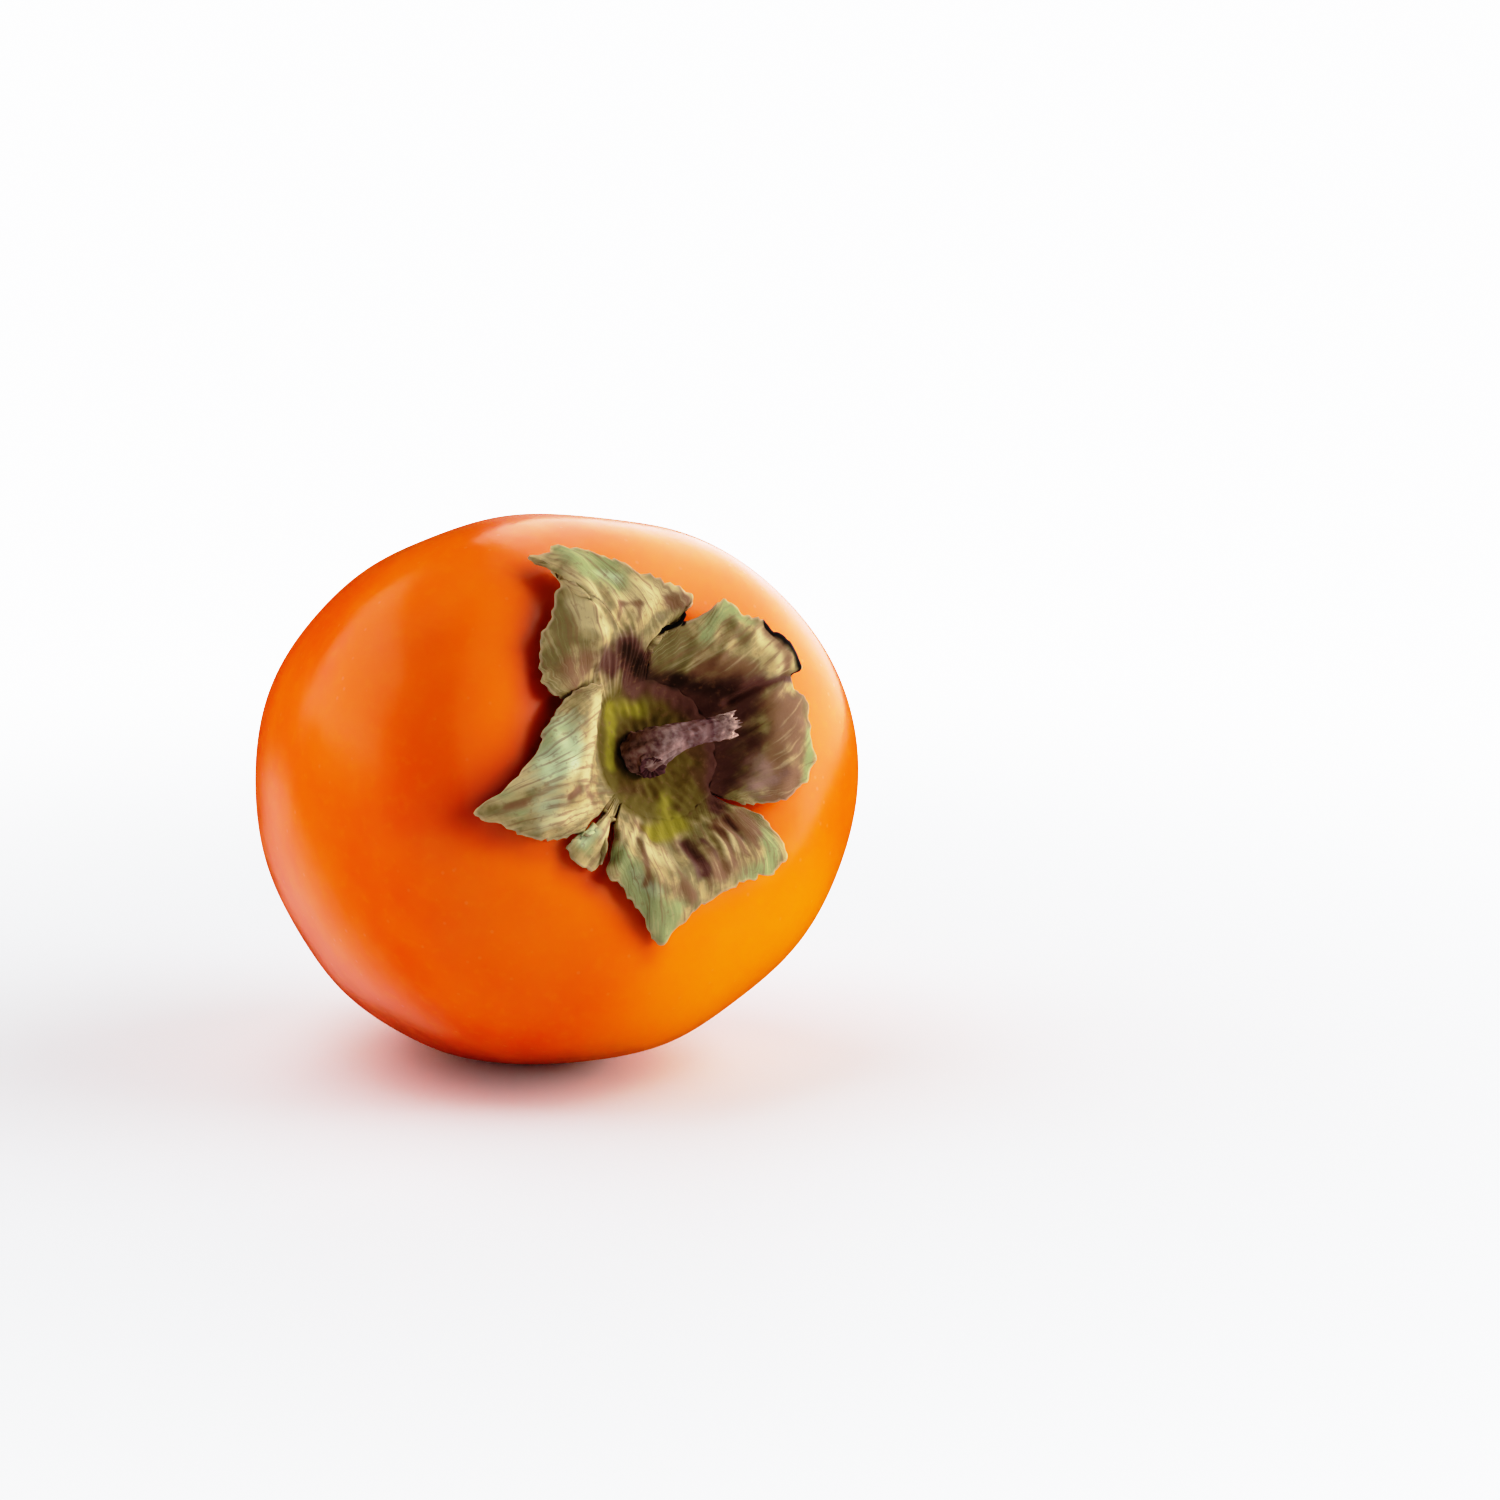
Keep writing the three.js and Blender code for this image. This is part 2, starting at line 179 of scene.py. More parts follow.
def add_node(tree, kind, inputs=(), **settings):
    """Adds a node with its settings; each input is a number, a colour or the socket that feeds it."""
    node = tree.nodes.new(kind)
    for key, value in settings.items():
        setattr(node, key, value)
    for key, value in dict(inputs).items():
        if isinstance(value, bpy.types.NodeSocket):
            tree.links.new(value, node.inputs[key])
        else:
            node.inputs[key].default_value = value
    return node


def blank_material(name):
    """A material with an empty node tree and its output node."""
    material = bpy.data.materials.new(name)
    material.use_nodes = True
    material.node_tree.nodes.clear()
    return material, material.node_tree, material.node_tree.nodes.new("ShaderNodeOutputMaterial")


def coated(tree, ground, coats):
    """Lays coats of colour over a ground colour. Each coat is (value, start, full, most, tone): it shows
    as its value goes from start to full, up to the share most."""
    colour = linear(ground)
    for value, start, full, most, tone in coats:
        steps = {"Value": value, "From Min": start, "From Max": full, "To Max": most}
        share = add_node(tree, "ShaderNodeMapRange", steps, interpolation_type="SMOOTHSTEP").outputs["Result"]
        layers = {0: share, 6: colour, 7: linear(tone)}
        colour = add_node(tree, "ShaderNodeMix", layers, data_type="RGBA").outputs[2]
    return colour


def make_fruit():
    """The whole skin: crown rings, tail rings, seeded lumps, and the flat it rests on."""
    angle = np.linspace(0, 2 * np.pi, FRUIT_SEGMENTS, endpoint=False)[None, :]
    crown = crown_points(np.arange(1, CROWN_RINGS + 1)[:, None] / CROWN_RINGS, angle)
    tail = tail_points(np.arange(1, TAIL_RINGS)[:, None] / TAIL_RINGS, angle)
    poles = crown_points(np.zeros(1), np.zeros(1)), tail_points(np.ones(1), np.zeros(1))
    points = np.concatenate([poles[0], crown.reshape(-1, 3), tail.reshape(-1, 3), poles[1]])
    away = points / np.linalg.norm(points, axis=1, keepdims=True)
    # The lumps fade out under the calyx, which follows the even form.
    off_core = np.hypot(points[:, 0], points[:, 1])
    clear = 1 - np.exp(-(off_core / CALYX_REACH) ** 6) * (points[:, 2] > 0)
    points = points + away * (LUMP_DEPTH * clear * ripples(points, LUMP_LENGTH, seed=3))[:, None]
    core = points[:, 2].copy()
    off_tip = np.linalg.norm(points - points[-1], axis=1)
    laid = lie(points)
    rest = REST_BLEND * MM
    laid[:, 2] = rest * np.logaddexp(0, laid[:, 2] / rest)
    out = laid - FRUIT_CENTRE * MM
    # How far each point faces the side with painted bounce light.
    lean = out @ np.array(BOUNCE_LIGHT_SIDE) / np.linalg.norm(out, axis=1)
    values = {"core_mm": core, "off_tip_mm": off_tip, "lean": lean}
    return mesh_piece("fruit_skin", laid, shell_faces(CROWN_RINGS + TAIL_RINGS - 1, FRUIT_SEGMENTS), values)


def waxy_skin():
    """Thin waxy persimmon skin over wet flesh: light sinks in and comes back orange, the wax gives a
    soft clear gloss, and fine pores break it up."""
    material, tree, output = blank_material("waxy persimmon skin")
    place = add_node(tree, "ShaderNodeTexCoord").outputs["Object"]
    core, off_tip, lean, painted_sepal_shadow = (
        add_node(tree, "ShaderNodeAttribute", attribute_name=key).outputs["Fac"]
        for key in ("core_mm", "off_tip_mm", "lean", "painted_sepal_shadow")
    )
    cloud = add_node(tree, "ShaderNodeTexNoise", {"Vector": place, "Scale": 1 / (22 * MM), "Detail": 3.0})
    mottle = add_node(tree, "ShaderNodeTexNoise", {"Vector": place, "Scale": 1 / (1.6 * MM), "Detail": 4.0})
    # Pale pores, about 0.4 mm across and 3 mm apart.
    pores = add_node(tree, "ShaderNodeTexVoronoi", {"Vector": place, "Scale": 1 / (2.6 * MM)})
    # Last of all, the dried style's scar: a black point in a narrow brown halo.
    colour = coated(tree, SKIN_DEEP, (
        (cloud.outputs["Fac"], 0.38, 0.66, 1.0, SKIN_RIPE),
        (core, 12.0, 34.0, 1.0, SKIN_LIGHT),
        # Painted bounce light: yellower on the side facing the table and the right.
        (lean, 0.66, 1.0, 1.0, SKIN_BOUNCE_YELLOW),
        (mottle.outputs["Fac"], 0.5, 0.8, 0.25, SKIN_LIGHT),
        (pores.outputs["Distance"], 0.14, 0.05, 0.05, BLOOM),
        # Painted shadow beside the sepals, deep red.
        (painted_sepal_shadow, 0.0, 1.0, 1.0, SKIN_SHADOW_AND_HALO),
        (off_tip, 4.2, 1.6, 0.7, SKIN_SHADOW_AND_HALO),
        (off_tip, 1.6, 1.0, 1.0, TIP_DARK),
    ))
    fine = add_node(tree, "ShaderNodeTexNoise", {"Vector": place, "Scale": 1 / (0.55 * MM), "Detail": 2.0})
    wavy = add_node(tree, "ShaderNodeTexNoise", {"Vector": place, "Scale": 1 / (6 * MM), "Detail": 2.0})
    waves = add_node(tree, "ShaderNodeBump", {
        "Height": wavy.outputs["Fac"], "Strength": 0.25, "Distance": 0.5 * MM,
    })
    bump = add_node(tree, "ShaderNodeBump", {
        "Height": fine.outputs["Fac"], "Normal": waves.outputs["Normal"], "Strength": 0.25,
        "Distance": 0.06 * MM,
    })
    gloss = add_node(tree, "ShaderNodeMapRange", {0: wavy.outputs["Fac"], 1: 0.3, 2: 0.7, 3: 0.19, 4: 0.27})
    shader = add_node(tree, "ShaderNodeBsdfPrincipled", {
        "Base Color": colour, "Roughness": gloss.outputs[0], "Normal": bump.outputs["Normal"],
        "IOR": 1.45, "Subsurface Weight": 0.35, "Subsurface Radius": (1.0, 0.32, 0.08),
        "Subsurface Scale": 4 * MM,
    })
    tree.links.new(shader.outputs[0], output.inputs["Surface"])
    return material


fruit = make_fruit()
fruit.data.materials.append(waxy_skin())
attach(fruit, "root")
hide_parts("fruit")

# ---------------------------------------------------------------------------------------------
# Calyx
#
# The leafy cap of the flower, grown with the fruit and dried on it: a thick disc round the stalk
# and four broad sepals, one of them torn, that rise as a cup, fold over a crest and fall to
# waved, crusted margins. It is papery, veined, green where it dried last and purple brown inside,
# with painted light and shade on its disc, crests and cup.
# ---------------------------------------------------------------------------------------------

RING_RADIUS = 8.8            # where the sepals leave the disc
RING_LIFT = 1.4
DISC_UNDERSIDE = 0.45
DISC_RIM = 9.9
DISC_PROFILE = ((3, 1.75), (6, 1.7), (9.2, 1.45), (DISC_RIM, 1.1), (9.2, 0.5), (4.5, 0.45))
WALL_REACH = 0.75
WALL_RISE = 0.35
SHOULDER_REACH = 0.45
SHOULDER_FALL = 0.12

# Each sepal: its stretch of the ring in degrees, its crest and its margin as (degrees, radius, lift).
SEPALS = {
    "upper_left": {
        "ring": (89, 146),
        "crest": ((90, 12.2, 2.8), (98.5, 13.3, 4.6), (108, 14.5, 5.6), (126, 16.3, 5.8), (145, 15, 2.4)),
        "margin": (
            (91, 13.2, 2.8), (90, 14.6, 4), (82, 15.6, 4.8), (75, 17.6, 5.3), (75.5, 19.4, 5.3),
            (88, 21.5, 4.6), (99, 24.6, 4.2), (106, 28.2, 3.4), (112.5, 29.6, 3.1), (118.8, 30.1, 3),
            (116.8, 28.2, 2.6), (118, 25.3, 2.3), (122.5, 24.5, 2.2), (129, 23.4, 2.1), (137, 22.8, 2),
            (146, 21.3, 1.9), (152, 19.4, 1.9), (153, 17, 1.9), (146, 14.6, 1.8),
        ),
    },
    "left": {
        "ring": (146, 211),
        "crest": (
            (137, 12.3, 4.6), (149, 11.8, 5.4), (170, 12, 5.6), (189, 14, 5), (199, 15.2, 3.6),
            (210, 13.6, 2.2),
        ),
        "margin": (
            (136, 12.8, 4.4), (142, 14.6, 3.8), (153, 16.8, 3), (165, 18.9, 2.4), (175, 20.6, 2.1),
            (184, 24.6, 1.8), (189, 29.4, 1.6), (195, 27.4, 1.6), (202, 24.6, 1.6), (207.8, 21.1, 1.6),
            (209.6, 17.6, 1.7), (211, 13.8, 1.8),
        ),
    },
    "torn_flap": {
        "ring": (212, 218),
        "crest": ((212.5, 13.4, 1.9), (215, 13.6, 2.3), (217.5, 13.4, 1.9)),
        "margin": (
            (212.5, 14, 1.8), (211.4, 17.6, 1.8), (210, 21.1, 1.6), (215, 22, 1.6), (223.5, 20.6, 1.6),
            (221.5, 17.4, 1.7), (217.7, 14, 1.8),
        ),
    },
    "lower": {
        "ring": (220, 316),
        "crest": (
            (221, 13, 2.2), (230, 15.6, 3.2), (243, 16.4, 4), (264, 15.3, 4), (288, 13.4, 3.8),
            (303, 12.6, 3.2), (315, 11.6, 2),
        ),
        "margin": (
            (221.5, 13.4, 1.9), (225, 17.4, 1.8), (228, 20, 1.8), (236, 21, 1.8), (246, 22.9, 1.7),
            (254, 25.7, 1.6), (261, 23, 1.8), (272, 20.4, 2.4), (288, 19.9, 2.9), (300, 21.2, 3),
            (310, 21.4, 2.8), (315, 18, 2.6), (317, 14.5, 2.4), (316, 12, 2),
        ),
    },
    "right": {
        "ring": (-43, 90),
        "crest": (
            (-43, 11.4, 2.2), (-23, 12.4, 4), (0, 13.8, 4.8), (15, 14.6, 5), (33, 13.4, 5.6),
            (52, 12.2, 5.4), (73, 11.4, 3.8), (90, 10.8, 2.2),
        ),
        "margin": (
            (-43, 11.8, 2), (-38, 14.5, 2.2), (-31, 17.8, 2.1), (-20, 21.2, 1.9), (-10, 22.2, 1.9),
            (0, 22.3, 2), (9, 22.2, 2.2), (15, 21, 3), (21, 22.2, 4.4), (31, 22, 5.2), (42, 20.9, 5.4),
            (51, 19.9, 5.3), (59, 20.3, 5.2), (65, 17.9, 4.6), (72, 16.3, 3.8), (81, 14.8, 3),
            (89, 13.4, 2.3), (91, 11.5, 2),
        ),
    },
}

SEPAL_THICKNESS = 0.55
SEPAL_ROWS = 72
COLUMNS_PER_SPAN = 8
DISC_SEGMENTS = 200
DISC_RINGS_PER_SPAN = 8
DISC_TOP_SPANS = 3           # how many spans of its profile face up
DISC_WRINKLES = ((1.6, 0.10, 8), (4.0, 0.12, 9))    # (length, height, seed)
RELIEF_START = 3.0           # how far from the disc a sepal's relief has risen to its full height
VEIN_RELIEF = 0.10
VEIN_SPACING = 2.2           # in the stretched lengths that the veins are drawn in
VEIN_STRETCH = (0.22, 0.12)  # what a column and a millimetre along the sepal are in those
CRINKLE_RELIEF = 0.22
CRINKLE_LENGTH = 4.5
MARGIN_RAGGED = 0.22
NICK_LENGTH = 1.3
NOTCH_LENGTH = 3.5
THIN_MARGIN = 1.5            # how wide the thinner margin is
MARGIN_THINNING = 0.35       # the share of its thickness that it loses
MAP_SCALE = 0.01             # the flat map's units in one millimetre
MAP_GAP = 40                 # millimetres between the sepals' maps
DISC_MAP_SCALE = 0.003

# Where the dry tissue isn't plain straw, and where light and shade are painted on it: strokes of
# (amount, half width in mm, places in degrees and mm).
TISSUE_AND_PAINTED_LIGHT = {
    "green": (
        (1.0, 2.2, ((109, 28.5), (110, 25.5), (105, 24.5))), (0.8, 2.2, ((105, 24.8), (104, 22.2))),
        (0.9, 1.2, ((63, 15), (62, 17), (57, 19.7))), (0.8, 1.1, ((57, 19.9), (48, 19.3))),
        (0.9, 1.8, ((166, 17.7), (170, 19.4), (178, 20.6))), (0.7, 1.6, ((182, 19.2), (180, 17.5))),
        (0.6, 1.4, ((187, 26.2), (193, 25.2))), (0.9, 1.4, ((214, 19.5), (213, 18.5))),
        (0.9, 1.8, ((229, 17.5), (236, 19), (243, 21), (250, 22.4))),
        (1.0, 1.7, ((250, 22.4), (255, 24.1), (256, 21.7))),
        (0.9, 1.6, ((290, 19.1), (299, 20.3), (307, 19.2), (309, 17.5))),
        (0.9, 0.9, ((358, 21.5), (350, 21.2), (341, 20.8), (335, 19))),
    ),
    # Paler tissue, partly its own colour and partly a painted highlight where light catches the crests.
    "cream": (
        (0.7, 1.2, ((188, 19.4), (184, 17.3))), (0.7, 1.0, ((121, 22.9), (122, 21.6))),
        (1.0, 1.4, ((115, 25.5), (117, 21.7), (124, 20), (122, 18))),
        (0.8, 1.8, ((105, 19.9), (98, 20.2), (90, 19.8))), (0.8, 1.2, ((86, 19.6), (77, 18.7))),
        (0.6, 1.4, ((100, 17.3), (95, 17.9))),
        (1.0, 1.3, ((148, 12.6), (163, 12.4), (178, 13.4), (190, 15.2))),
        (0.8, 1.6, ((170, 16.6), (185, 18))), (0.9, 1.3, ((203, 15.9), (202, 19.3), (198, 22.9))),
        (0.9, 1.4, ((168, 19.4), (177, 20.8), (184, 23.4), (187, 26.6))),
        (0.7, 1.1, ((217, 16.5), (216, 14.5))), (0.9, 1.6, ((233, 13.3), (241, 14.7), (251, 15.2))),
        (0.6, 1.1, ((236, 10.6), (238, 12))), (1.0, 1.5, ((25, 19), (31, 19.6), (38, 19.2))),
        (0.8, 0.5, ((296, 12.2), (291, 15.6))), (0.6, 0.5, ((288, 13), (284, 17))),
    ),
    "olive": (
        (1.0, 1.7, ((124, 23.2), (130, 21.6), (134, 20.6), (139, 20.6))),
        (0.9, 1.8, ((77, 14), (86, 12.1), (84, 10.4))), (0.9, 1.7, ((70, 12.6), (68, 10.5))),
        (0.6, 1.6, ((42, 15.8), (44, 17))), (0.6, 1.4, ((244, 18.2), (244, 20.5))),
    ),
    "brown": (
        (0.6, 1.0, ((196, 15.3), (203, 14.8))),
        (0.8, 1.8, ((141, 18.4), (145, 16.6), (135, 16.6))), (0.9, 1.8, ((54, 12), (41, 13.5), (33, 14.8))),
        (1.0, 2.3, ((11, 16.2), (357, 16.4), (345, 15.2), (335, 16.9))),
        (0.6, 1.6, ((10, 20), (1, 20))), (0.9, 0.8, ((190, 26.4), (191, 24.8))),
        (0.9, 0.7, ((195, 18.9), (194, 17.3))), (0.9, 1.4, ((307, 15.6), (313, 13.4))),
        (0.9, 1.4, ((284, 17.2), (276, 17.5))), (0.7, 1.3, ((263, 19.5), (258, 18.8))),
        (0.7, 0.5, ((107, 19.3), (99, 18.4))), (0.7, 0.5, ((107, 19.3), (111, 17.7))),
        (0.7, 0.5, ((99, 18.4), (102, 16.4))), (1.0, 1.2, ((84, 18.2), (77, 18))),
        (0.8, 1.2, ((39, 20.4), (28, 20.6), (21, 19.4))), (0.9, 1.3, ((279, 14.4), (279, 16.4))),
        (0.9, 1.2, ((294, 12.2), (304, 12.6))), (0.7, 1.0, ((235, 11.2), (244, 12.2))),
        (0.9, 2.0, ((340, 19), (330, 16.5))),
        (0.9, 0.5, ((292, 12.2), (287.5, 16.8))), (0.9, 0.5, ((299, 12.2), (295, 17.2))),
        (0.8, 0.5, ((306, 12.5), (302, 17.5))), (0.8, 0.5, ((236, 13.4), (242, 19.5))),
        (0.9, 1.8, ((8, 18.5), (352, 18.5))),
    ),
    # The cup's own purple brown, partly painted shade on its walls and the disc's rim.
    "plum": (
        (1.0, 2.0, ((126, 14.6), (121, 12.9), (110, 13.2), (104, 11), (103, 9))),
        (1.0, 1.5, ((112, 14.4), (105, 12.4), (102, 10.4))),
        (1.0, 1.8, ((76, 8.2), (60, 8.6), (42, 9.6), (28, 11.6))), (1.0, 1.6, ((28, 12), (24, 15))),
        (0.8, 2.2, ((20, 11), (4, 10.8), (-10, 10.8), (-22, 10.4))),
        (0.6, 1.6, ((17, 13), (2, 13.4), (-10, 13))),
        (0.8, 1.4, ((50, 8), (20, 9), (-10, 9.2), (-35, 9.2))),
        (1.0, 1.2, ((330, 10), (318, 9.8), (306, 10.8))),
        (1.0, 1.3, ((268, 12.8), (269, 14), (270, 16.5))),
        (0.8, 0.5, ((280, 12.8), (280, 15.5))), (0.7, 0.5, ((302, 12.5), (299, 15))),
        (1.0, 0.55, ((16, 22.1), (20, 19), (23, 15), (24, 11.5))), (0.5, 1.6, ((341, 16.5), (330, 14.5))),
        (0.8, 1.6, ((96, 11.5), (97, 9))),
    ),
    "mauve": ((0.8, 1.8, ((330, 12.9), (335, 14.6), (343, 13.2))),),
    # Painted shade deep in the cup, over the purple brown of its walls.
    "cup_shade": (
        (0.8, 1.4, ((112, 14), (104, 12.2), (98, 10.6))), (0.6, 1.1, ((62, 9.6), (42, 10.4), (28, 12.2))),
        (0.6, 1.1, ((98, 10.6), (80, 9.2), (62, 9.6))),
    ),
    "crust": (
        (1.0, 0.9, ((90, 14.6), (76, 16.2))), (1.0, 0.8, ((40, 21.3), (34, 21.8))),
        (1.0, 0.8, ((29, 21.8), (20, 21.6))), (0.8, 0.9, ((38, 21), (30, 21.2))),
    ),
    # The disc's own yellow green, partly painted light where light falls on its left side and lower rim.
    "bright": (
        (1.0, 1.1, ((134, 8.6), (153, 6.8), (187, 7.3))), (0.8, 1.4, ((117, 7), (99, 5.6))),
        (1.0, 1.5, ((247, 11.6), (259, 10.7), (273, 9.8))), (0.6, 1.4, ((265, 7.5), (271, 6.4))),
    ),
    "teal": (
        (1.0, 1.6, ((181, 19.6), (180, 17.4), (175, 16.6))), (0.7, 1.1, ((213, 19.5), (213, 17.2))),
        (0.6, 1.0, ((103, 22.6), (107, 24))), (0.4, 1.0, ((236, 18.6), (247, 20.2))),
        (0.5, 2.8, ((166, 17), (184, 20), (195, 22))),
    ),
    # Painted shade on the disc, under the stalk and by the cup's walls.
    "shaded": (
        (1.0, 1.1, ((358, 5.8), (350, 7.5))), (0.9, 1.3, ((328, 6.5), (318, 8.8))),
        (0.9, 1.3, ((341, 8.5), (358, 9))), (0.7, 1.3, ((236, 5.5), (215, 7.5))),
        (0.9, 1.3, ((20, 8), (50, 7))),
    ),
}

# Painted shadow: where the skin beside the sepals is painted darker and redder, in the same way.
PAINTED_SEPAL_SHADOW = (
    (0.64, 3.0, ((119, 27), (124, 25), (132, 24), (141, 23), (151, 20.5))),
    (0.62, 3.7, ((152, 18), (166, 20), (176, 21.8), (184, 25.5), (189, 29))),
    (0.5, 2.6, ((197, 27.5), (204, 25), (210, 22), (216, 22.5), (225, 21))),
    (0.33, 8.0, ((150, 33), (167, 31), (182, 31))),
    (0.45, 2.7, ((228, 21), (236, 22), (246, 24), (253, 26))),
    (0.4, 2.1, ((318, 16), (312, 21))),
)

# Folds and creases in the sepals: strokes of (height and half width in mm, places).
FOLDS = (
    (0.8, 1.4, ((113, 27), (117, 21.7), (124, 18.7), (128, 16))),
    (-0.4, 1.2, ((104, 23), (107, 19), (111, 16.5))),
    (0.4, 1.2, ((80, 19), (92, 18.5), (100, 17))), (0.4, 1.0, ((190, 27), (192, 21), (195, 17))),
    (-0.5, 0.6, ((195, 19), (194, 17))), (0.3, 0.7, ((50, 13), (52, 18))),
    (0.3, 0.7, ((42, 13), (43, 18.5))), (0.7, 1.2, ((26, 21), (28, 17), (30, 14))),
    (-0.8, 0.6, ((16, 22.5), (20, 19), (23, 15), (24, 12))),
    (0.4, 1.1, ((236, 12), (243, 17), (250, 22))), (-0.6, 0.9, ((268, 12.5), (269, 14.5), (270, 17))),
    (0.25, 0.5, ((296, 12), (291, 16))), (-0.25, 0.5, ((283, 13), (281, 17))),
    (0.25, 0.5, ((288, 12.5), (284, 17.5))), (-0.25, 0.5, ((302, 12), (298, 17))),
)


def around_core(stations):
    """Stations of (degrees, radius, height) as points round the core."""
    degrees, radius, height = np.moveaxis(np.asarray(stations, float), -1, 0)
    angle = np.radians(degrees)
    return np.stack([radius * np.cos(angle), radius * np.sin(angle), height], -1)


def smooth_curve(points, share):
    """A Catmull-Rom curve through the points, at shares 0 to 1 of its spans, its ends carried on straight."""
    points = np.concatenate([[2 * points[0] - points[1]], points, [2 * points[-1] - points[-2]]])
    spans = len(points) - 3
    span = np.minimum((share * spans).astype(int), spans - 1)
    part = (share * spans - span)[:, None]
    before, start, end, after = (points[span + k] for k in range(4))
    line = 2 * start + (end - before) * part
    bend = (2 * before - 5 * start + 4 * end - after) * part ** 2
    return 0.5 * (line + bend + (3 * start - before - 3 * end + after) * part ** 3)


def bezier(first, second, third, fourth, share):
    """A cubic Bezier curve for each column at each share: rows of shares by columns."""
    share = share[:, None, None]
    return ((1 - share) ** 3 * first + 3 * (1 - share) ** 2 * share * second
            + 3 * (1 - share) * share ** 2 * third + share ** 3 * fourth)


def rib_points(ring, crest, margin, rows):
    """Ribs of a sepal: each climbs a wall from the ring, rounds the crest and falls to the margin,
    as two Bezier curves that meet smoothly at the crest."""
    wall = ring + (crest - ring) * (WALL_REACH, WALL_REACH, WALL_RISE)
    shoulder = crest + (margin - crest) * (SHOULDER_REACH, SHOULDER_REACH, SHOULDER_FALL)
    before, after = (wall + crest) / 2, (crest + shoulder) / 2
    top = (before + after) / 2
    half = np.linspace(0, 1, rows // 2 + 1)
    inner = bezier(ring, wall, before, top, half)
    outer = bezier(top, after, shoulder, margin, half[1:])
    return np.concatenate([inner, outer])


def stand(points):
    """Undoes lie(): points of the laid-down fruit, in metres, back in its own frame."""
    rise = np.radians(CORE_RISE)
    turned = points / MM - FRUIT_CENTRE
    x, y, z = turned[..., 0], turned[..., 1], turned[..., 2]
    return np.stack([x, y * np.sin(rise) + z * np.cos(rise), z * np.sin(rise) - y * np.cos(rise)], -1)


def above_skin(points):
    """Lifts points by the height of the skin under them."""
    lifted = points.copy()
    lifted[..., 2] += skin_height(points[..., 0], points[..., 1])
    return lifted


def bells(points, marks):
    """For each stroke, its amount times a bell curve of the distance from each point to its line."""
    flat = points[..., :2]
    for amount, width, places in marks:
        line = around_core([(degrees, radius, 0) for degrees, radius in places])[:, :2]
        apart = np.full(flat.shape[:-1], np.inf)
        for start, end in zip(line, line[1:]):
            run = end - start
            share = np.clip((flat - start) @ run / (run @ run), 0, 1)
            apart = np.minimum(apart, np.linalg.norm(flat - start - share[..., None] * run, axis=-1))
        yield amount * np.exp(-(apart / width) ** 2)


def union(shares):
    """Shares that cover one another at random: one less the product of what each leaves bare."""
    return 1 - np.prod([1 - share for share in shares], axis=0)


def grid_normals(points):
    """Unit normals of a grid of points, from its slopes along rows and columns."""
    normal = np.cross(np.gradient(points, axis=0), np.gradient(points, axis=1))
    return normal / np.maximum(np.linalg.norm(normal, axis=-1, keepdims=True), 1e-9)


def grid_lengths(points, axis):
    """The distance travelled along one axis of a grid, in mm."""
    steps = np.linalg.norm(np.diff(points, axis=axis), axis=-1)
    start = np.zeros_like(np.take(steps, [0], axis=axis))
    return np.concatenate([start, np.cumsum(steps, axis=axis)], axis=axis)


def blade(upper, thickness):
    """A closed blade from a grid of upper points: the grid, a copy below it, and a rim round both."""
    rows, columns = upper.shape[:2]
    lower = upper - grid_normals(upper) * thickness
    index = np.arange(rows * columns).reshape(rows, columns)
    top = np.stack([index[:-1, :-1], index[1:, :-1], index[1:, 1:], index[:-1, 1:]], -1).reshape(-1, 4)
    under = top[:, ::-1] + rows * columns
    edge = np.concatenate([index[0], index[1:, -1], index[-1, -2::-1], index[-2:0:-1, 0]])
    beside = np.roll(edge, -1)
    rim = np.stack([edge, beside, beside + rows * columns, edge + rows * columns], -1)
    points = np.concatenate([upper.reshape(-1, 3), lower.reshape(-1, 3)])
    return points, np.concatenate([top, under, rim])


def sepal(shape, seed):
    """One sepal: its ribs over the skin with veins and crinkles, its ragged margin, and how far each point is
    from that margin."""
    columns = COLUMNS_PER_SPAN * (len(shape["margin"]) - 1) + 1
    share = np.linspace(0, 1, columns)
    degrees = shape["ring"][0] + (shape["ring"][1] - shape["ring"][0]) * share
    ring = around_core(np.stack([degrees, 0 * share + RING_RADIUS, 0 * share + RING_LIFT], -1))
    crest = smooth_curve(around_core(shape["crest"]), share)
    margin = smooth_curve(around_core(shape["margin"]), share)
    outward = margin - crest
    outward /= np.linalg.norm(outward, axis=1, keepdims=True)
    nicks = ripples(margin, NICK_LENGTH, seed) + 0.8 * ripples(margin, NOTCH_LENGTH, seed + 1)
    margin = margin + outward * (MARGIN_RAGGED * nicks)[:, None]
    ribs = rib_points(ring, crest, margin, SEPAL_ROWS)
    along = grid_lengths(ribs, 0)
    across = grid_lengths(ribs, 1) - grid_lengths(ribs, 1).mean(1, keepdims=True)
    out = np.linspace(0, 1, len(ribs))[:, None]
    away = np.clip(along / RELIEF_START, 0, 1)
    fibre = np.stack([share * columns * VEIN_STRETCH[0] + 0 * along, along * VEIN_STRETCH[1]], -1)
    veins = ripples(fibre, VEIN_SPACING, seed + 2)
    crinkle = ripples(ribs[..., :2], CRINKLE_LENGTH, seed + 3)
    relief = away * (VEIN_RELIEF * veins + CRINKLE_RELIEF * crinkle * out + sum(bells(ribs, FOLDS)))
    placed = above_skin(ribs)
    placed = placed + grid_normals(placed) * relief[..., None]
    side = np.minimum(share, 1 - share)[None, :] * grid_lengths(ribs, 1)[:, -1:]
    # The sides are margins too, but less so towards the disc.
    edge = np.minimum(along[-1:] - along, side + 4 * (1 - out))
    flat_map = np.stack([across, along + MAP_GAP * (seed % 7)], -1) * MAP_SCALE
    thickness = SEPAL_THICKNESS * (1 - MARGIN_THINNING * np.clip(1 - edge / THIN_MARGIN, 0, 1))[..., None]
    points, faces = blade(placed, thickness)
    return points, faces.tolist(), np.tile(edge.ravel(), 2), np.tile(flat_map.reshape(-1, 2), (2, 1))


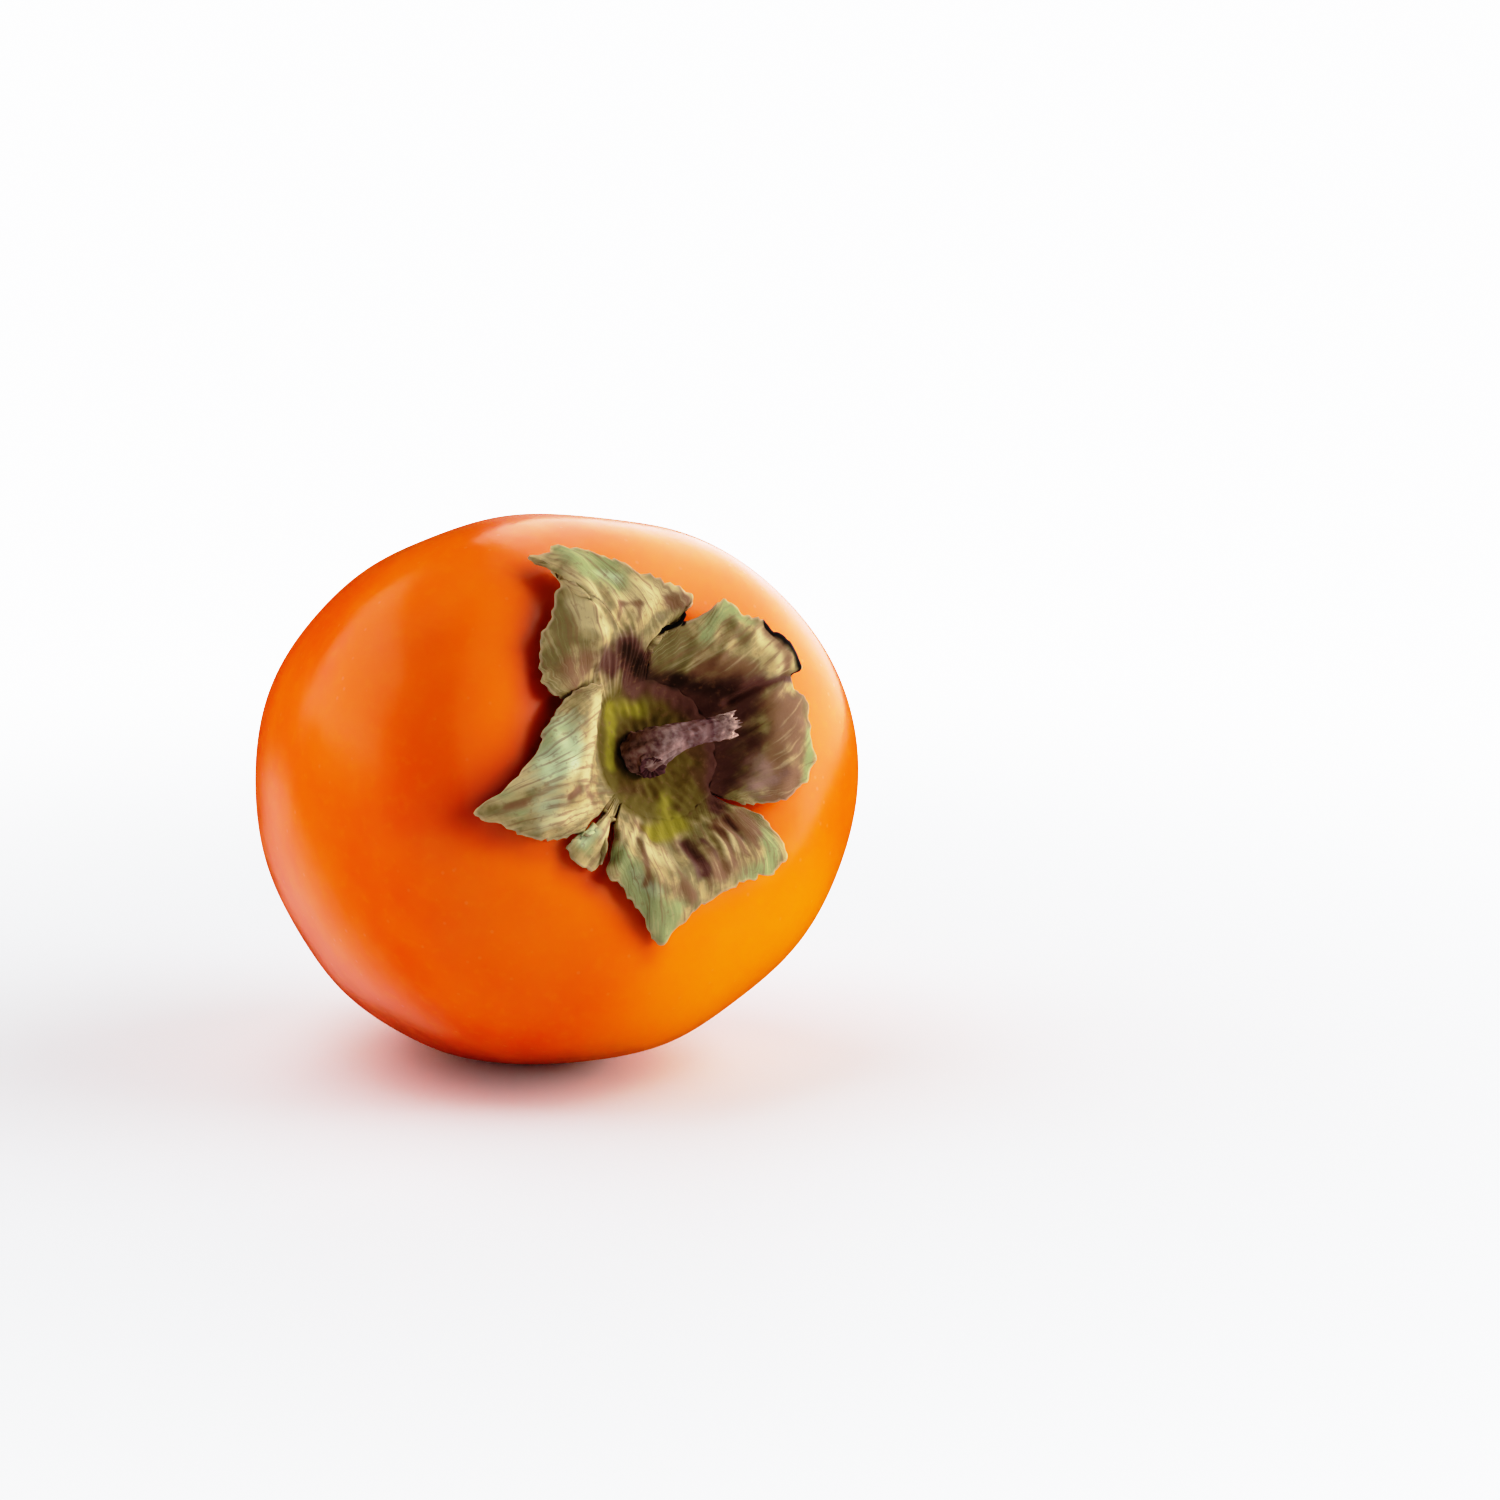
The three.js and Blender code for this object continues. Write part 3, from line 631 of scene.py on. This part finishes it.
def make_calyx():
    """Disc and sepals in one mesh, with the tissue and painted light and shade values that its finish reads.
    """
    parts = [sepal(shape, seed=20 + 5 * order) for order, shape in enumerate(SEPALS.values())]
    parts.append(disc_part())
    starts = np.cumsum([0] + [len(part[0]) for part in parts])
    points, edge, flat_map = (np.concatenate([part[k] for part in parts]) for k in (0, 2, 3))
    faces = []
    for start, part in zip(starts.tolist(), parts):
        faces += [[corner + start for corner in face] for face in part[1]]
    values = {key: union(bells(points, marks)) for key, marks in TISSUE_AND_PAINTED_LIGHT.items()}
    values["edge_mm"] = edge
    values["off_core_mm"] = np.hypot(points[:, 0], points[:, 1])
    return mesh_piece("calyx_leaf", lie(points), faces, values, flat_map)


def disc_part():
    """The disc: a closed plate that follows the hollow, with faint radial wrinkles."""
    corners = np.array([(0, DISC_PROFILE[0][1]), *DISC_PROFILE, (0, DISC_UNDERSIDE)], float)
    steps = DISC_RINGS_PER_SPAN * (len(corners) - 1)
    line = np.interp(np.arange(1, steps) / DISC_RINGS_PER_SPAN, np.arange(len(corners)), corners[:, 0])
    lift = np.interp(np.arange(1, steps) / DISC_RINGS_PER_SPAN, np.arange(len(corners)), corners[:, 1])
    degrees = np.linspace(0, 360, DISC_SEGMENTS, endpoint=False)
    rings = around_core(np.stack(np.broadcast_arrays(degrees[None, :], line[:, None], lift[:, None]), -1))
    top_side = (np.arange(1, steps) <= DISC_TOP_SPANS * DISC_RINGS_PER_SPAN)[:, None]
    wrinkle = sum(height * ripples(rings[..., :2], length, seed) for length, height, seed in DISC_WRINKLES)
    calm = np.clip(line / 3, 0, 1) * np.clip((DISC_RIM - line) / 2, 0, 1)
    rings[..., 2] += np.where(top_side, wrinkle * calm[:, None], 0)
    poles = around_core([(0, 0, DISC_PROFILE[0][1]), (0, 0, DISC_UNDERSIDE)])
    points = above_skin(np.concatenate([poles[:1], rings.reshape(-1, 3), poles[1:]]))
    far_from_edge = np.full(len(points), 9.0)
    return points, shell_faces(steps - 1, DISC_SEGMENTS), far_from_edge, points[:, :2] * DISC_MAP_SCALE


STRAW = "#a08e64"            # thin dry tissue
OLIVE = "#736646"            # where it is thicker
CREAM = "#b2a279"            # paler along the crests: partly its own, partly a painted highlight
SAGE = "#878b60"             # green left in the tips
TEAL = "#a9b08f"             # bloom on the green
BROWN = "#785a45"
PLUM = "#5e433b"             # purple brown inside the cup, partly its own and partly painted shade
MAUVE = "#8f7264"
# painted shade deep in the cup
CUP_SHADE_DARK = "#3b2b22"
CRUST = "#140c0a"            # burnt margins
PALE_RIM = "#c2a887"
DISC_OLIVE = "#60522d"
# painted shade on the disc
DISC_PAINTED_SHADE = "#57432c"
DISC_YELLOW_GREEN_LIT = "#867b35"     # the disc's yellow green, partly painted light


def dried_sepal():
    """Dried leaf tissue: matt and papery, straw to olive with green left in it, darker between the veins,
    with painted light and shade on the disc, the crests and in the cup.
    """
    material, tree, output = blank_material("dried papery sepal")
    place = add_node(tree, "ShaderNodeTexCoord").outputs["Object"]
    surface = add_node(tree, "ShaderNodeUVMap", uv_map="surface").outputs["UV"]
    value = {
        key: add_node(tree, "ShaderNodeAttribute", attribute_name=key).outputs["Fac"]
        for key in (*TISSUE_AND_PAINTED_LIGHT, "edge_mm", "off_core_mm")
    }
    # Fibres run out from the disc, about 0.8 mm apart, and broader streaks of them 2 mm apart.
    fibre_map, streak_map = (
        add_node(tree, "ShaderNodeMapping", {"Vector": surface, "Scale": stretch}).outputs[0]
        for stretch in ((125.0, 16.0, 1.0), (50.0, 9.0, 1.0))
    )
    fibre, streak, blotch, speck = (
        add_node(tree, "ShaderNodeTexNoise", {"Vector": way, "Scale": scale, "Detail": detail}).outputs["Fac"]
        for way, scale, detail in (
            (fibre_map, 1.0, 4.0), (streak_map, 1.0, 3.0),
            (place, 1 / (2.4 * MM), 5.0), (place, 1 / (0.8 * MM), 3.0),
        )
    )

    def broken(key, by_blotch, by_streak):
        """A tissue value whose border the blotches break up and the streaks draw out along the fibres."""
        share = value[key]
        for noise, amount in ((blotch, by_blotch), (streak, by_streak)):
            moved = {0: noise, 1: amount, 2: share}
            share = add_node(tree, "ShaderNodeMath", moved, operation="MULTIPLY_ADD").outputs[0]
        return share

    reach = {0: blotch, 1: 5.0, 2: value["off_core_mm"]}
    off_core = add_node(tree, "ShaderNodeMath", reach, operation="MULTIPLY_ADD").outputs[0]
    margin = {"Value": value["edge_mm"], "From Min": 1.8, "From Max": 0.5}
    near_edge = add_node(
        tree, "ShaderNodeMapRange", margin, interpolation_type="SMOOTHSTEP").outputs["Result"]
    colour = coated(tree, STRAW, (
        (blotch, 0.36, 0.66, 1.0, OLIVE),
        (broken("olive", 0.5, 0.6), 0.7, 1.4, 1.0, OLIVE),
        # Partly a painted highlight on the crests.
        (broken("cream", 0.6, 0.8), 0.8, 1.6, 1.0, CREAM),
        (broken("green", 0.6, 0.6), 0.7, 1.45, 1.0, SAGE),
        (broken("teal", 0.6, 0.6), 0.7, 1.45, 1.0, TEAL),
        (broken("brown", 0.7, 0.9), 0.95, 1.7, 1.0, BROWN),
        (fibre, 0.5, 0.66, 0.6, BROWN),
        (fibre, 0.46, 0.3, 0.35, CREAM),
        (off_core, 13.6, 11.2, 1.0, DISC_OLIVE),
        # Painted shade on the disc.
        (broken("shaded", 0.5, 0.0), 0.4, 1.15, 1.0, DISC_PAINTED_SHADE),
        # Partly painted light on the disc.
        (broken("bright", 0.5, 0.3), 0.5, 1.3, 1.0, DISC_YELLOW_GREEN_LIT),
        # Partly painted shade in the cup.
        (broken("plum", 0.6, 0.8), 0.8, 1.6, 1.0, PLUM),
        (broken("mauve", 0.8, 0.8), 0.95, 1.7, 1.0, MAUVE),
        # Painted shade in the cup.
        (broken("cup_shade", 0.6, 0.4), 0.6, 1.4, 1.0, CUP_SHADE_DARK),
        (speck, 0.56, 0.72, 0.4, BROWN),
        (value["edge_mm"], 0.5, 0.1, 0.35, PALE_RIM),
        (broken("crust", 0.7, 0.0), 0.65, 0.9, near_edge, CRUST),
    ))
    grain = add_node(tree, "ShaderNodeBump", {"Height": fibre, "Strength": 0.5, "Distance": 0.25 * MM})
    bump = add_node(tree, "ShaderNodeBump", {
        "Height": speck, "Normal": grain.outputs["Normal"], "Strength": 0.3, "Distance": 0.2 * MM,
    })
    shader = add_node(tree, "ShaderNodeBsdfPrincipled", {
        "Base Color": colour, "Roughness": 0.78, "Normal": bump.outputs["Normal"], "IOR": 1.4,
        "Specular IOR Level": 0.35, "Subsurface Weight": 0.08, "Subsurface Radius": (1.0, 0.8, 0.3),
        "Subsurface Scale": 0.6 * MM,
    })
    tree.links.new(shader.outputs[0], output.inputs["Surface"])
    return material


def paint_sepal_shadow(piece):
    """Stores the painted shadow beside the sepals: how deep red the skin is painted there, the union of
    its strokes' bells.
    """
    places = np.empty(3 * len(piece.data.vertices))
    piece.data.vertices.foreach_get("co", places)
    places = stand(places.reshape(-1, 3))
    share = union(bells(places, PAINTED_SEPAL_SHADOW)) * (places[:, 2] > 0)
    piece.data.attributes.new("painted_sepal_shadow", "FLOAT", "POINT").data.foreach_set("value", share)


paint_sepal_shadow(fruit)
calyx = make_calyx()
calyx.data.materials.append(dried_sepal())
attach(calyx, "root")
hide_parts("calyx")

# ---------------------------------------------------------------------------------------------
# Stalk
#
# The woody stalk by which the fruit hung, cut from the twig: a knob on the disc with the round
# stub of a side shoot, bending to the right and ending where it tore, in pale ragged fibres.
# ---------------------------------------------------------------------------------------------

STALK_GAP = 0.4
STALK_PATH = (
    (-1.9, 0, 20.2), (-2, 0, 22.6), (-0.8, 0.5, 24.8), (2.6, 1, 26), (5.6, 1.2, 26.9), (8.4, 1.4, 27.8),
)
STALK_RADII = (3.0, 2.9, 2.3, 1.6, 1.45, 1.55)
STUB_PATH = ((-1.9, -0.3, 22.4), (-2.5, -1.4, 23.6), (-2.9, -2.4, 24.4))
STUB_RADII = (1.6, 1.8, 1.7)
STALK_STEPS = 150
STUB_STEPS = 40
STALK_SIDES = 96
BARK_RELIEF = 0.14
GRAIN_STRETCH = 0.35         # the wrinkles run along the grain: a length along it counts this much
WRINKLE_LENGTH = 1.5
RIDGE_LENGTH = 2.5           # of the low ridges across it
TORN_LENGTH = 0.7            # how unevenly the end tore
TORN_REACH = 1.5             # how far from the end the fibres are pulled out
FIBRE_LENGTH = 0.8
END_RINGS = 10
END_HOLLOW = 0.5
PALE_REACH = 3.0             # how far from the end the wood is bare

BARK = "#755753"
BARK_DARK = "#543b3c"
BARK_GREY = "#9a8380"
TORN_WOOD = "#b99c90"


def limb(path, radii, steps, seed, torn):
    """A round limb along a path: rings square to it, their radius wrinkled along the grain, and an end
    face that sinks towards the pith; with how far each point is from that end."""
    share = np.linspace(0, 1, steps + 1)
    middle = smooth_curve(np.asarray(path, float), share)
    radius = smooth_curve(np.asarray(radii, float)[:, None], share)[:, 0]
    ahead = np.gradient(middle, axis=0)
    ahead /= np.linalg.norm(ahead, axis=1, keepdims=True)
    side = np.cross([0.0, 1.0, 0.0], ahead)
    side /= np.linalg.norm(side, axis=1, keepdims=True)
    up = np.cross(ahead, side)
    angle = np.linspace(0, 2 * np.pi, STALK_SIDES, endpoint=False)
    length = grid_lengths(middle, 0)[:, None]
    round_way = np.stack(np.broadcast_arrays(
        np.cos(angle)[None, :] * 3, np.sin(angle)[None, :] * 3, length * GRAIN_STRETCH), -1)
    ridges = ripples(round_way * (1, 1, 5), RIDGE_LENGTH, seed + 1)
    bark = ripples(round_way, WRINKLE_LENGTH, seed) + 0.7 * ridges
    reach = radius[:, None] + BARK_RELIEF * bark
    rings = (middle[:, None] + side[:, None] * (reach * np.cos(angle))[..., None]
             + up[:, None] * (reach * np.sin(angle))[..., None])
    ragged = ripples(round_way[-1], FIBRE_LENGTH, seed + 2)
    near_end = np.clip((length - length[-1] + TORN_REACH) / TORN_REACH, 0, 1) ** 2
    rings = rings + ahead[:, None] * (torn * near_end * ragged[None, :])[..., None]
    # The end face: rings that shrink to the pith, which sits a little deeper.
    inward = np.linspace(0.85, 0.1, END_RINGS)[:, None, None]
    pith = middle[-1] - ahead[-1] * END_HOLLOW
    face = pith + (rings[-1] - pith) * inward
    face = face + ahead[-1] * (0.3 * torn * ripples(face, 0.7, seed + 3))[..., None]
    grid = np.concatenate([rings, face])[::-1]
    from_end = np.broadcast_to(length[-1] - length, rings.shape[:2])
    end_mm = np.concatenate([from_end, np.zeros(face.shape[:2])])[::-1]
    points = np.concatenate([[pith], grid.reshape(-1, 3), middle[:1]])
    end_mm = np.concatenate([[0.0], end_mm.ravel(), [length[-1, 0]]])
    return points, shell_faces(len(grid), STALK_SIDES), end_mm


def make_stalk():
    """The stalk and its stub, the foot following the disc."""
    points, faces, end_mm = limb(STALK_PATH, STALK_RADII, STALK_STEPS, seed=61, torn=TORN_LENGTH)
    foot = skin_height(points[:, 0], points[:, 1]) + DISC_PROFILE[0][1] + STALK_GAP
    points[:, 2] = np.maximum(points[:, 2], foot)
    stub_points, stub_faces, stub_end = limb(STUB_PATH, STUB_RADII, STUB_STEPS, seed=71, torn=0.15)
    faces = faces + [[corner + len(points) for corner in face] for face in stub_faces]
    # The knob and the stub are painted paler: painted light that lifts the shade of the hollow they sit in.
    knob = 0.3 * np.clip((end_mm - 6) / 3, 0, 1)
    pale = np.concatenate([np.clip(1 - end_mm / PALE_REACH, 0, 1) + knob, 0.3 + 0 * stub_end])
    pith = np.concatenate([0 * end_mm, (stub_end < 0.05) * 1.0])
    return mesh_piece(
        "stalk_wood", lie(np.concatenate([points, stub_points])), faces, {"pale": pale, "pith": pith}
    )


def stalk_bark():
    """Dry twig bark: matt purple brown with grey bloom in its wrinkles, pale torn wood at the end, and
    painted light on the knob and the stub.
    """
    material, tree, output = blank_material("dry twig bark")
    place = add_node(tree, "ShaderNodeTexCoord").outputs["Object"]
    pale = add_node(tree, "ShaderNodeAttribute", attribute_name="pale").outputs["Fac"]
    pith = add_node(tree, "ShaderNodeAttribute", attribute_name="pith").outputs["Fac"]
    coarse = add_node(tree, "ShaderNodeTexNoise", {"Vector": place, "Scale": 1 / (2.2 * MM), "Detail": 5.0})
    fine = add_node(tree, "ShaderNodeTexNoise", {"Vector": place, "Scale": 1 / (0.8 * MM), "Detail": 3.0})
    colour = coated(tree, BARK_DARK, (
        (coarse.outputs["Fac"], 0.35, 0.65, 1.0, BARK),
        (fine.outputs["Fac"], 0.42, 0.78, 0.4, BARK_GREY),
        # Pale torn wood at the end, and painted light on the knob and the stub.
        (fine.outputs["Fac"], 0.2, 0.7, pale, TORN_WOOD),
        (pith, 0.0, 1.0, 1.0, BARK_DARK),
    ))
    bump = add_node(tree, "ShaderNodeBump", {
        "Height": fine.outputs["Fac"], "Strength": 0.3, "Distance": 0.15 * MM,
    })
    shader = add_node(tree, "ShaderNodeBsdfPrincipled", {
        "Base Color": colour, "Roughness": 0.85, "Normal": bump.outputs["Normal"], "IOR": 1.45,
        "Specular IOR Level": 0.3,
    })
    tree.links.new(shader.outputs[0], output.inputs["Surface"])
    return material


stalk = make_stalk()
stalk.data.materials.append(stalk_bark())
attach(stalk, "root")
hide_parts("stem")

# ---------------------------------------------------------------------------------------------
# Studio
#
# A white table that runs into a white background. Soft boxes and cards light it from the right,
# the left and above. Larger, dimmer boxes, a white wall on the right and the table's bright end
# on the left are what the skin mirrors. The camera looks along the table at the calyx side.
# ---------------------------------------------------------------------------------------------

TABLE_RADIUS = 3.2
TABLE_SIDES = 64
FADE_FROM = 0.045            # metres from the fruit's foot to where the table starts to fade
FADE_TO = 0.32               # and to where it has become background
FLOOR_WHITE = "#f0f3f8"
BACKGROUND = "#fcfdff"
CAMERA_AZIMUTH = -36.4
CAMERA_ELEVATION = 11.0
CAMERA_DISTANCE = 0.552
CAMERA_AIM = (0.0216, -0.0228, 0.0422)
CAMERA_LENS = 100.0
SENSOR_WIDTH = 36.0
# The film's response: how bright a scene value is and how bright it is shown.
FILM_CURVE = (
    (0, 0), (0.05, 0.012), (0.14, 0.09), (0.42, 0.37), (0.64, 0.61), (0.85, 0.75), (1.2, 0.86), (1.8, 0.95),
    (2.6, 1),
)
BACKGROUND_LIGHT = 2.3
# What the skin mirrors: how bright, which way, and between which cosines of lean it fades in.
AIR_LIGHT = 0.02             # the dark, open side
WALL_LIGHT = 0.8             # the white wall and ceiling on the right
WALL_AIM = (60.0, 0.0)
WALL_EDGE = (-0.06, 0.1)
WALL_FOOT = (-0.1, 0.15)
TABLE_GLINT = 0.85           # the table's bright end on the left
TABLE_GLINT_AIM = (-171.0, -28.0)
TABLE_GLINT_EDGE = (0.905, 0.96)

LIGHT_DISTANCE = 0.9
# Name, azimuth, elevation, width and height in metres, glow, whether it is mirrored, whether it lights.
SOFT_LIGHTS = (
    ("right softbox as mirrored", 94, 32, 1.9, 1.15, 2.15, True, False),
    ("left window as mirrored", -131.8, 30, 1.2, 0.86, 1.3, True, False),
    ("right softbox", 60, 34, 0.9, 0.8, 4.0, False, True),
    ("low card", 45, 9, 0.8, 0.5, 7.1, False, True),
    ("ceiling behind", -150, 60, 1.0, 0.9, 3.2, False, True),
    ("left window", -117, 27, 0.8, 0.8, 1.5, False, True),
    ("left low card", -124, 4, 0.7, 0.14, 10.5, False, True),
    ("back card", -155, 14, 0.9, 0.5, 0.5, False, True),
)


def towards(azimuth, elevation):
    """The unit vector that points from the object at a viewer there; azimuth 0 is in front, along -Y."""
    a, e = np.radians(azimuth), np.radians(elevation)
    return Vector((np.sin(a) * np.cos(e), -np.cos(a) * np.cos(e), np.sin(e)))


def soft_light(name, azimuth, elevation, width, height, glow, mirrored, lights):
    """A white rectangular soft box aimed at the fruit's middle, its face as bright as glow."""
    light = bpy.data.lights.new(name, "AREA")
    light.shape = "RECTANGLE"
    light.size = width
    light.size_y = height
    light.energy = glow * np.pi * width * height
    holder = bpy.data.objects.new(name, light)
    way = towards(azimuth, elevation)
    holder.location = Vector((FRUIT_CENTRE * MM).tolist()) + way * LIGHT_DISTANCE
    holder.rotation_euler = (-way).to_track_quat("-Z", "Y").to_euler()
    holder.visible_glossy = mirrored
    holder.visible_diffuse = lights
    bpy.context.scene.collection.objects.link(holder)


def make_floor():
    """A round table top whose material turns into the background's own white towards its edge."""
    rings = np.concatenate([[0.02], np.geomspace(0.1, TABLE_RADIUS, 12)])
    angle = np.linspace(0, 2 * np.pi, TABLE_SIDES, endpoint=False)
    grid = rings[:, None, None] * np.stack([np.cos(angle), np.sin(angle), 0 * angle], -1)
    index = np.arange(len(rings) * TABLE_SIDES).reshape(-1, TABLE_SIDES)
    beside = np.roll(index, -1, axis=1)
    faces = np.stack([index[:-1], index[1:], beside[1:], beside[:-1]], -1).reshape(-1, 4).tolist()
    floor = mesh_piece("table", grid.reshape(-1, 3), faces + [index[0].tolist()])
    material, tree, output = blank_material("white table")
    place = add_node(tree, "ShaderNodeTexCoord").outputs["Object"]
    away = add_node(tree, "ShaderNodeVectorMath", {0: place}, operation="LENGTH").outputs["Value"]
    paper = add_node(tree, "ShaderNodeBsdfPrincipled", {
        "Base Color": linear(FLOOR_WHITE), "Roughness": 0.5, "Specular IOR Level": 0.3})
    glow = add_node(tree, "ShaderNodeEmission", {"Color": linear(BACKGROUND), "Strength": BACKGROUND_LIGHT})
    share = add_node(tree, "ShaderNodeMapRange", {"Value": away, "From Min": FADE_FROM, "From Max": FADE_TO},
                     interpolation_type="SMOOTHSTEP").outputs["Result"]
    faded = add_node(tree, "ShaderNodeMixShader", {0: share, 1: paper.outputs[0], 2: glow.outputs[0]})
    tree.links.new(faded.outputs[0], output.inputs["Surface"])
    floor.data.materials.append(material)
    floor.visible_glossy = False


def light_room():
    """White to the camera. To the skin's gloss it is dark, with a white wall on the right and the table's
    bright end on the left. It gives no other light."""
    world = bpy.data.worlds.new("studio")
    world.use_nodes = True
    tree = world.node_tree
    tree.nodes.clear()
    way = add_node(tree, "ShaderNodeTexCoord").outputs["Generated"]

    def beyond(aim, edge):
        """How far a direction leans towards an aim: 0 below the edge's first cosine, 1 above its second."""
        lean = add_node(tree, "ShaderNodeVectorMath", {0: way, 1: aim}, operation="DOT_PRODUCT")
        share = {"Value": lean.outputs["Value"], "From Min": edge[0], "From Max": edge[1]}
        return add_node(tree, "ShaderNodeMapRange", share, interpolation_type="SMOOTHSTEP").outputs["Result"]

    wall = {0: beyond(towards(*WALL_AIM), WALL_EDGE), 1: beyond(Vector((0, 0, 1)), WALL_FOOT)}
    wall_share = add_node(tree, "ShaderNodeMath", wall, operation="MULTIPLY").outputs[0]
    glint_share = beyond(towards(*TABLE_GLINT_AIM), TABLE_GLINT_EDGE)
    level = AIR_LIGHT
    for share, glow in ((wall_share, WALL_LIGHT), (glint_share, TABLE_GLINT)):
        lit = {0: share, 1: glow, 2: level}
        level = add_node(tree, "ShaderNodeMath", lit, operation="MULTIPLY_ADD").outputs[0]
    path = add_node(tree, "ShaderNodeLightPath").outputs
    in_gloss = {0: level, 1: path["Is Glossy Ray"]}
    strength = add_node(tree, "ShaderNodeMath", in_gloss, operation="MULTIPLY").outputs[0]
    mirrored = add_node(tree, "ShaderNodeBackground", {"Color": linear(BACKGROUND), "Strength": strength})
    seen = add_node(tree, "ShaderNodeBackground", {"Color": linear(BACKGROUND), "Strength": BACKGROUND_LIGHT})
    both = {0: path["Is Camera Ray"], 1: mirrored.outputs[0], 2: seen.outputs[0]}
    surface = add_node(tree, "ShaderNodeMixShader", both).outputs[0]
    add_node(tree, "ShaderNodeOutputWorld", {"Surface": surface}).is_active_output = True
    bpy.context.scene.world = world


def make_camera():
    """The camera, level with the calyx, looking along the table."""
    camera = bpy.data.cameras.new("camera")
    camera.lens = CAMERA_LENS
    camera.sensor_width = SENSOR_WIDTH
    camera.clip_start = 0.01
    holder = bpy.data.objects.new("camera", camera)
    way = towards(CAMERA_AZIMUTH, CAMERA_ELEVATION)
    holder.location = Vector(CAMERA_AIM) + way * CAMERA_DISTANCE
    holder.rotation_euler = (-way).to_track_quat("-Z", "Y").to_euler()
    bpy.context.scene.collection.objects.link(holder)
    bpy.context.scene.camera = holder


def set_film():
    """The camera's contrast: deeper darks, and brights that roll off softly into white."""
    view = bpy.context.scene.view_settings
    view.view_transform = "Standard"
    view.use_curve_mapping = True
    view.curve_mapping.clip_max_x = FILM_CURVE[-1][0]
    film = view.curve_mapping.curves[3]
    film.points[0].location = FILM_CURVE[0]
    film.points[1].location = FILM_CURVE[-1]
    for light, shade in FILM_CURVE[1:-1]:
        film.points.new(light, shade)
    view.curve_mapping.update()


make_floor()
light_room()
for soft_box in SOFT_LIGHTS:
    soft_light(*soft_box)
make_camera()
set_film()
